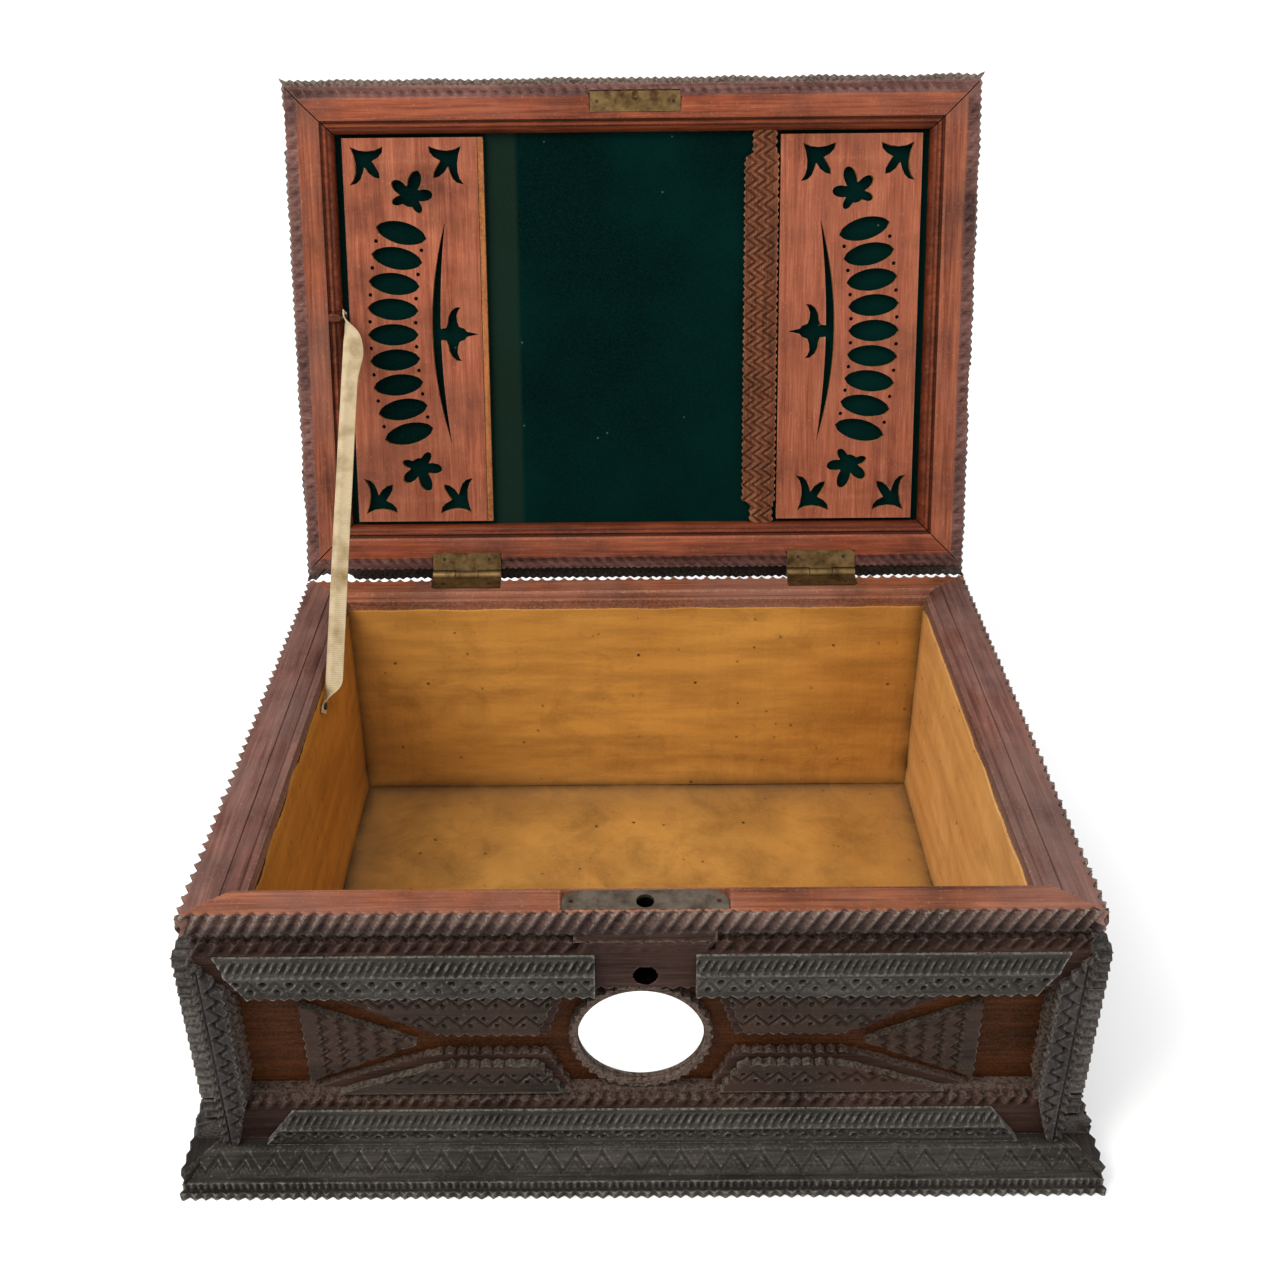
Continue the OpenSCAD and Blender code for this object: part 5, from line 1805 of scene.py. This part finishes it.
@dataclass
class LidTop:
    """The lid board with its small uneven notches, the two layers on it and the lozenge, in the closed lid."""

    half_w: float = 150.0
    half_d: float = 107.0
    over: float = 4.5
    over_back: float = 8.6
    board: float = 135.3
    board_t: float = 5.0
    layer_t: float = 4.0
    step: float = 10.0

    def build(self, looks: Finishes) -> None:
        """Build and dress the boards.

        Args:
            looks: the finishes.
        """
        low, chips = self.board, [(1, 128.0, 150.0, 1.6), (2, 286.0, 304.0, 2.2), (3, 196.0, 214.0, 1.4)]
        jobs = [("lid_board", -self.over, -self.over_back, self.board_t, 3.4, 0.9, 1.5, chips, looks.edge),
                ("lid_layer_lower", self.step / 2, self.step / 2, self.layer_t, 4.3, 1.4, 0.4, [], looks.carved)]
        for seed, (node, inset, back, thick, pitch, depth, wear, gone, look) in enumerate(jobs):
            x, y0, y1 = self.half_w - inset, inset - self.half_d, self.half_d - back
            outline = ragged([(-x, y0), (x, y0), (x, y1), (-x, y1)], pitch, depth, wear, 100 + seed, gone)
            dress(slab(node + "_slab", self.face(low), outline, thick, look), Body.LID, "carved_wood", node)
            low += thick
        x, y = self.half_w - 1.5 * self.step, self.half_d - 1.5 * self.step
        layer = Plate("lid_layer_upper_plate", self.face(low), [(-x, -y), (-x, y)], [(x, -y), (x, y)], self.layer_t,
                      self.border(x, y), step=0.8, seed=102)
        dress(layer.build(looks.carved), Body.LID, "carved_wood", "lid_layer_upper")
        x, y, blunt = self.half_w - 4 * self.step, self.half_d - 4 * self.step, 8.6
        left = [(-blunt, -y), (-x, -blunt), (-x, blunt), (-blunt, y)]
        lozenge = Plate("lid_lozenge", self.face(low + self.layer_t), left, mirrored(left), self.layer_t,
                        self.rows, step=0.8, seed=110, notched=(False, True, False, True))
        dress(lozenge.build(looks.carved), Body.LID, "carved_wood", "lid_ornament")

    def face(self, low: float) -> Face:
        """Plane at a height in the closed lid, looking up."""
        return Face((0, 0, low), RIGHT, BACK, UP, Body.LID)

    def border(self, x: float, y: float) -> Cut:
        """Give a band of zigzag and pits round a rectangle.

        Args:
            x: half the width.
            y: half the depth.

        Returns:
            What gives the depth at each place.
        """

        def cut(a: Array, b: Array) -> Array:
            """Depth at each place.

            Args:
                a: places in the first direction.
                b: places in the second direction.

            Returns:
                Depth at each place.
            """
            far_a, far_b = x - np.abs(a), y - np.abs(b)
            u, w = np.where(far_a < far_b, b, a), np.minimum(far_a, far_b)
            return np.maximum(zigzag(u, w, 10.5, 3.2, 8.0, 0.9, 1.0), pit_rows(u, w, 10.5, -1.7, 8.0, 1.1, 1.6))

        return cut

    def rows(self, a: Array, b: Array) -> Array:
        """Carving of the lozenge: rows of zigzags and pits along it.

        Args:
            a: places in the first direction.
            b: places in the second direction.

        Returns:
            Depth at each place.
        """
        return np.maximum.reduce([np.maximum(zigzag(a, b, at, 3.0, 8.0, 0.9, 1.0),
                                             pit_rows(a, b, at, 2.0, 8.0, 1.1, 1.6))
                                  for at in np.arange(-54.0, 55.0, 13.5)])


@dataclass
class LockPlate:
    """The lock's top plate, its inner corners rounded."""

    middle: tuple[float, float] = (1.5, -101.0)
    half: tuple[float, float] = (27.0, 5.0)
    front: float = -3.8
    top: float = 121.0
    thick: float = 1.2
    hole: float = 3.0
    nail: float = 24.0
    nail_r: float = 0.82

    def circle(self, x: float, y: float, radius: float) -> Outline:
        """Points of a round hole."""
        return [(x + radius * math.cos(t), y + radius * math.sin(t)) for t in np.linspace(0, 2 * math.pi, 25)[:-1]]

    def build(self, looks: Finishes) -> None:
        """Build and dress the plate.

        Args:
            looks: the finishes.
        """
        w, d = self.half
        bend = [(math.cos(t), math.sin(t)) for t in np.linspace(0, math.pi / 2, 9)]
        right = [(w - 7 + 7 * c, d - 5 + 5 * s) for c, s in bend]
        line = [(-w, self.front), (w, self.front), *right, *((-x, y) for x, y in reversed(right))]
        holes = [self.circle(0, 0, self.hole)] + [self.circle(x, 0, self.nail_r) for x in (-self.nail, self.nail)]
        face = Face((*self.middle, self.top - self.thick), RIGHT, BACK, UP)
        piece = pierced("lock_top_plate", face, [line, *holes], self.thick, looks.plate)
        dress(piece, Body.CASE, "brass", "lock_plate")


@dataclass
class LidInside:
    """What lies in the lid's recess: the velvet and the carved strip beside the right panel."""

    half_w: float = 130.0
    half_h: float = 87.0
    velvet: float = 130.0
    strip: tuple[float, float] = (49.0, 64.5)

    def strip_cut(self, a: Array, b: Array) -> Array:
        """Carving of the strip: three nested zigzags along it.

        Args:
            a: places in the first direction.
            b: places in the second direction.

        Returns:
            Depth at each place.
        """
        middle = sum(self.strip) / 2
        rows = [zigzag(b, a, middle + shift, 2.4, 7.0, 0.7, 1.0) for shift in (-4.6, -0.4, 3.8)]
        return np.maximum.reduce(rows)

    def build(self, looks: Finishes) -> None:
        """Build and dress the velvet and the strip.

        Args:
            looks: the finishes.
        """
        x0, x1 = self.strip
        y = self.half_h
        face = Face((0, 0, self.velvet), RIGHT, BACK, DOWN, Body.LID)
        left = [(x0 + 3.6, -y), (x0 + 3.6, -y + 9), (x0, -y + 12), (x0, y - 10), (x0 + 3.6, y - 8), (x0 + 3.6, y)]
        right = [(x1 - 1.0, -y), (x1 - 1.0, -y + 8), (x1, -y + 10), (x1, y - 10), (x1 - 1.0, y - 8), (x1 - 1.0, y)]
        strip = Plate("carved_strip_board", face, left, right, 3.0, self.strip_cut, seed=81,
                      notched=(False, True, False, True), notch_depth=1.0, notch=3.1)
        dress(strip.build(looks.strip), Body.LID, "mahogany", "carved_strip")
        under = Face((0, 0, self.velvet + 1.0), RIGHT, BACK, DOWN, Body.LID)
        end = [(self.half_w, -y), (self.half_w, y)]
        cloth = Plate("velvet_cloth", under, mirrored(end), end, 0.9,
                      lambda a, b: 0.25 + 0.25 * wander(a, b, 33.0, 5.0), step=3.0, notched=SMOOTH)
        piece = dress(cloth.build(looks.velvet), Body.LID, "velvet", "velvet_panel")


@dataclass
class Stay:
    """The folded cotton tape that holds the lid, nailed flat at its ends and turned to the front between them."""

    x: float = -128.8
    low: tuple[float, float] = (25.0, 108.9)
    high: tuple[float, float] = (143.9, 233.5)
    end: float = 3.0
    width: float = 7.0
    thick: float = 0.9
    fold: float = 1.3
    twist: float = 13.0

    def section(self) -> Array:
        """Folded section: across the tape and through it.

        Returns:
            The closed section.
        """
        half = self.width / 2
        front = [(-half, 0.0), (-half * 0.45, self.fold), (-half * 0.2, self.fold * 0.75), (0.15 * half, 0.35),
                 (half * 0.6, 0.1), (half, -0.15)]
        return np.array(front + [(p, q - self.thick) for p, q in reversed(front)])

    def build(self, looks: Finishes) -> None:
        """Args:
            looks: the finishes.
        """
        foot, head = np.array(self.low), np.array(self.high)
        run = head - foot
        length = float(np.linalg.norm(run))
        along, square = run / length, np.array((-run[1], run[0])) / length
        section = self.section()
        rows = []
        for far in np.linspace(-self.end, length + self.end, 110):
            turn = math.pi / 2 * np.clip(min(far + 1, length + 1 - far) / self.twist, 0, 1)
            turn = math.pi / 4 * (1 - math.cos(2 * turn))
            slack = 0.7 * math.sin(math.pi * np.clip(far / length, 0, 1))
            slack += 0.25 * noise.noise(Vector((far / 21, 0, 3)))
            bulge = 1.0 + 0.28 * math.exp(-((far - length + 17) / 8) ** 2)
            across = section[:, 0] * bulge
            out = section[:, 1]
            edge = (across + self.width / 2 * bulge) * math.sin(turn)
            in_plane = across * math.cos(turn) * 0.75 + out * math.sin(turn) + slack
            x = self.x + self.thick + edge + out * math.cos(turn) * 0.5
            yz = foot + along * far + square * in_plane[:, None]
            rows.append(np.column_stack([np.maximum(x, self.x), yz]))
        piece = add_mesh("cotton_stay", np.concatenate(rows) * MM, tube(len(rows), len(section)), looks.tape,
                         sharp_deg=60.0)
        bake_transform(piece)
        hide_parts("stay_tape")
        LOG.info("cotton_stay bends between case and lid")

    def at(self, place: Array) -> Array:
        """Turn a place in the tape's plane into a point in metres."""
        return np.array((self.x, *place)) * MM


# Nodes kept as they are


def keep(looks: Finishes) -> None:
    """Give the CAD nodes that stay their materials.

    Args:
        looks: the finishes.
    """
    wears = {looks.panel: ("front_wall", "left_wall", "right_wall", "back_wall", "bottom_board"),
             looks.layer: ("front_frame_lower", "left_frame", "right_frame", "back_frame", "mirror_ring"),
             looks.brass: ("lock_bolt", "strike_plate", "hinge_leaves_case", "hinge_leaves_lid"),
             looks.black_iron: ("lock_case",),
             looks.iron: ("hinge_pins", "case_nails", "lid_nails"),
             looks.mirror: ("mirror",)}
    for material, names in wears.items():
        for name in names:
            node = frame["nodes"][name]
            node.data.materials.clear()
            node.data.materials.append(material)
            LOG.info("%s is %s", name, material.name)


# Studio


@dataclass(frozen=True)
class Studio:
    """Camera, soft light and a pale floor."""

    lens: float = 38.6
    sensor: float = 36.0
    shift: tuple[float, float] = (0.0156, -0.094)
    place: Point = (-0.003, -0.436, 0.437)
    pitch_deg: float = 27.8
    yaw_deg: float = -0.38
    roll_deg: float = -0.65
    horizon: float = 0.3
    zenith: float = 1.35

    def camera(self) -> None:
        """Place the camera as the photograph was taken."""
        data = bpy.data.cameras.new("camera")
        data.lens = self.lens
        data.sensor_width = self.sensor
        data.shift_x, data.shift_y = self.shift
        data.clip_start = 0.01
        made = bpy.data.objects.new("camera", data)
        yaw, pitch, roll = (math.radians(v) for v in (self.yaw_deg, self.pitch_deg, self.roll_deg))
        ahead = Vector((math.sin(yaw) * math.cos(pitch), math.cos(yaw) * math.cos(pitch), -math.sin(pitch)))
        right = Vector((math.cos(yaw), -math.sin(yaw), 0.0))
        up = right.cross(ahead)
        turned = math.cos(roll) * right + math.sin(roll) * up
        above = turned.cross(ahead)
        made.matrix_world = Matrix(((turned.x, above.x, -ahead.x, self.place[0]),
                                    (turned.y, above.y, -ahead.y, self.place[1]),
                                    (turned.z, above.z, -ahead.z, self.place[2]), (0, 0, 0, 1)))
        bpy.context.scene.collection.objects.link(made)
        bpy.context.scene.camera = made

    def lamp(self, name: str, place: Point, aim: Point, size: float, watts: float, colour: str) -> None:
        """Hang one soft square lamp.

        Args:
            name: name of the lamp.
            place: where it hangs.
            aim: where it points.
            size: its side in metres.
            watts: its power.
            colour: its hex colour.
        """
        data = bpy.data.lights.new(name, "AREA")
        data.size = size
        data.energy = watts
        data.color = linear(colour)[:3]
        made = bpy.data.objects.new(name, data)
        made.location = place
        made.rotation_euler = (Vector(aim) - Vector(place)).to_track_quat("-Z", "Y").to_euler()
        bpy.context.scene.collection.objects.link(made)

    def floor(self) -> None:
        """Lay the pale floor."""
        reach = 6.0
        points = np.array([(-reach, -reach, 0), (reach, -reach, 0), (reach, reach, 0), (-reach, reach, 0)], float)
        material, _, shader = start_material("pale_floor")
        plug(shader, {"Base Color": "#ffffff", "Roughness": 0.9})
        add_mesh("floor", points, [(0, 1, 2, 3)], material)

    def build(self) -> None:
        """Build the studio."""
        self.camera()
        self.floor()
        scene = bpy.context.scene
        world = bpy.data.worlds.new("studio")
        scene.world = world
        world.use_nodes = True
        background = world.node_tree.nodes["Background"]
        add = partial(add_node, world.node_tree)
        height = add(SPLIT, {0: add(PLACE, out="Generated")}, 2)
        sky = add(RANGE, {0: height, 1: 0.0, 2: 0.9, 3: self.horizon, 4: self.zenith})
        rays = add("ShaderNodeLightPath").node.outputs
        reflected = add(MATH, {0: rays["Is Glossy Ray"], 1: rays["Is Transmission Ray"]}, **LARGER)
        seen = add(MATH, {0: rays["Is Camera Ray"], 1: reflected}, **LARGER)
        plug(background, {"Strength": add(MIX, {0: seen, 2: sky, 3: 1.0}), "Color": "#ffffff"})
        self.lamp("key", (-0.75, -0.55, 1.15), (0, 0, 0.1), 0.7, 13.0, "#fffaf2")
        self.lamp("fill", (0.9, -0.8, 0.8), (0, 0, 0.1), 1.0, 2.5, "#f4f8ff")
        scene.view_settings.view_transform = "Standard"


def main() -> None:
    """Build the studio and the box."""
    logging.basicConfig(level=logging.INFO, format="%(name)s: %(message)s")
    Studio().build()
    looks = Finishes()
    Stay().build(looks)
    Rim().build(looks)
    LidFrame().build(looks)
    FrontCarving().build(looks)
    Foot().build(looks)
    Inside().build(looks)
    Fret().build(-1, "fret_left", looks)
    Fret().build(1, "fret_right", looks)
    LidInside().build(looks)
    LidTop().build(looks)
    LockPlate().build(looks)
    right, left, back = (-104.5, 100.0), (-100.0, 104.5), (-148.5, 148.5)
    for name, face, ends, foot, thick in (("right", Face((148.5, 0, 0), BACK, UP, RIGHT), right, 22.0, 6.5),
                                          ("left", Face((-148.5, 0, 0), FRONT, UP, LEFT), left, 22.0, 6.5),
                                          ("back", Face((0, 104.0, 0), LEFT, UP, BACK), back, 13.0, 3.5)):
        SideCarving(name + "_side", name + "_ornament", face, ends, foot, thick).build(looks)
    keep(looks)


if __name__ == "__main__":
    main()
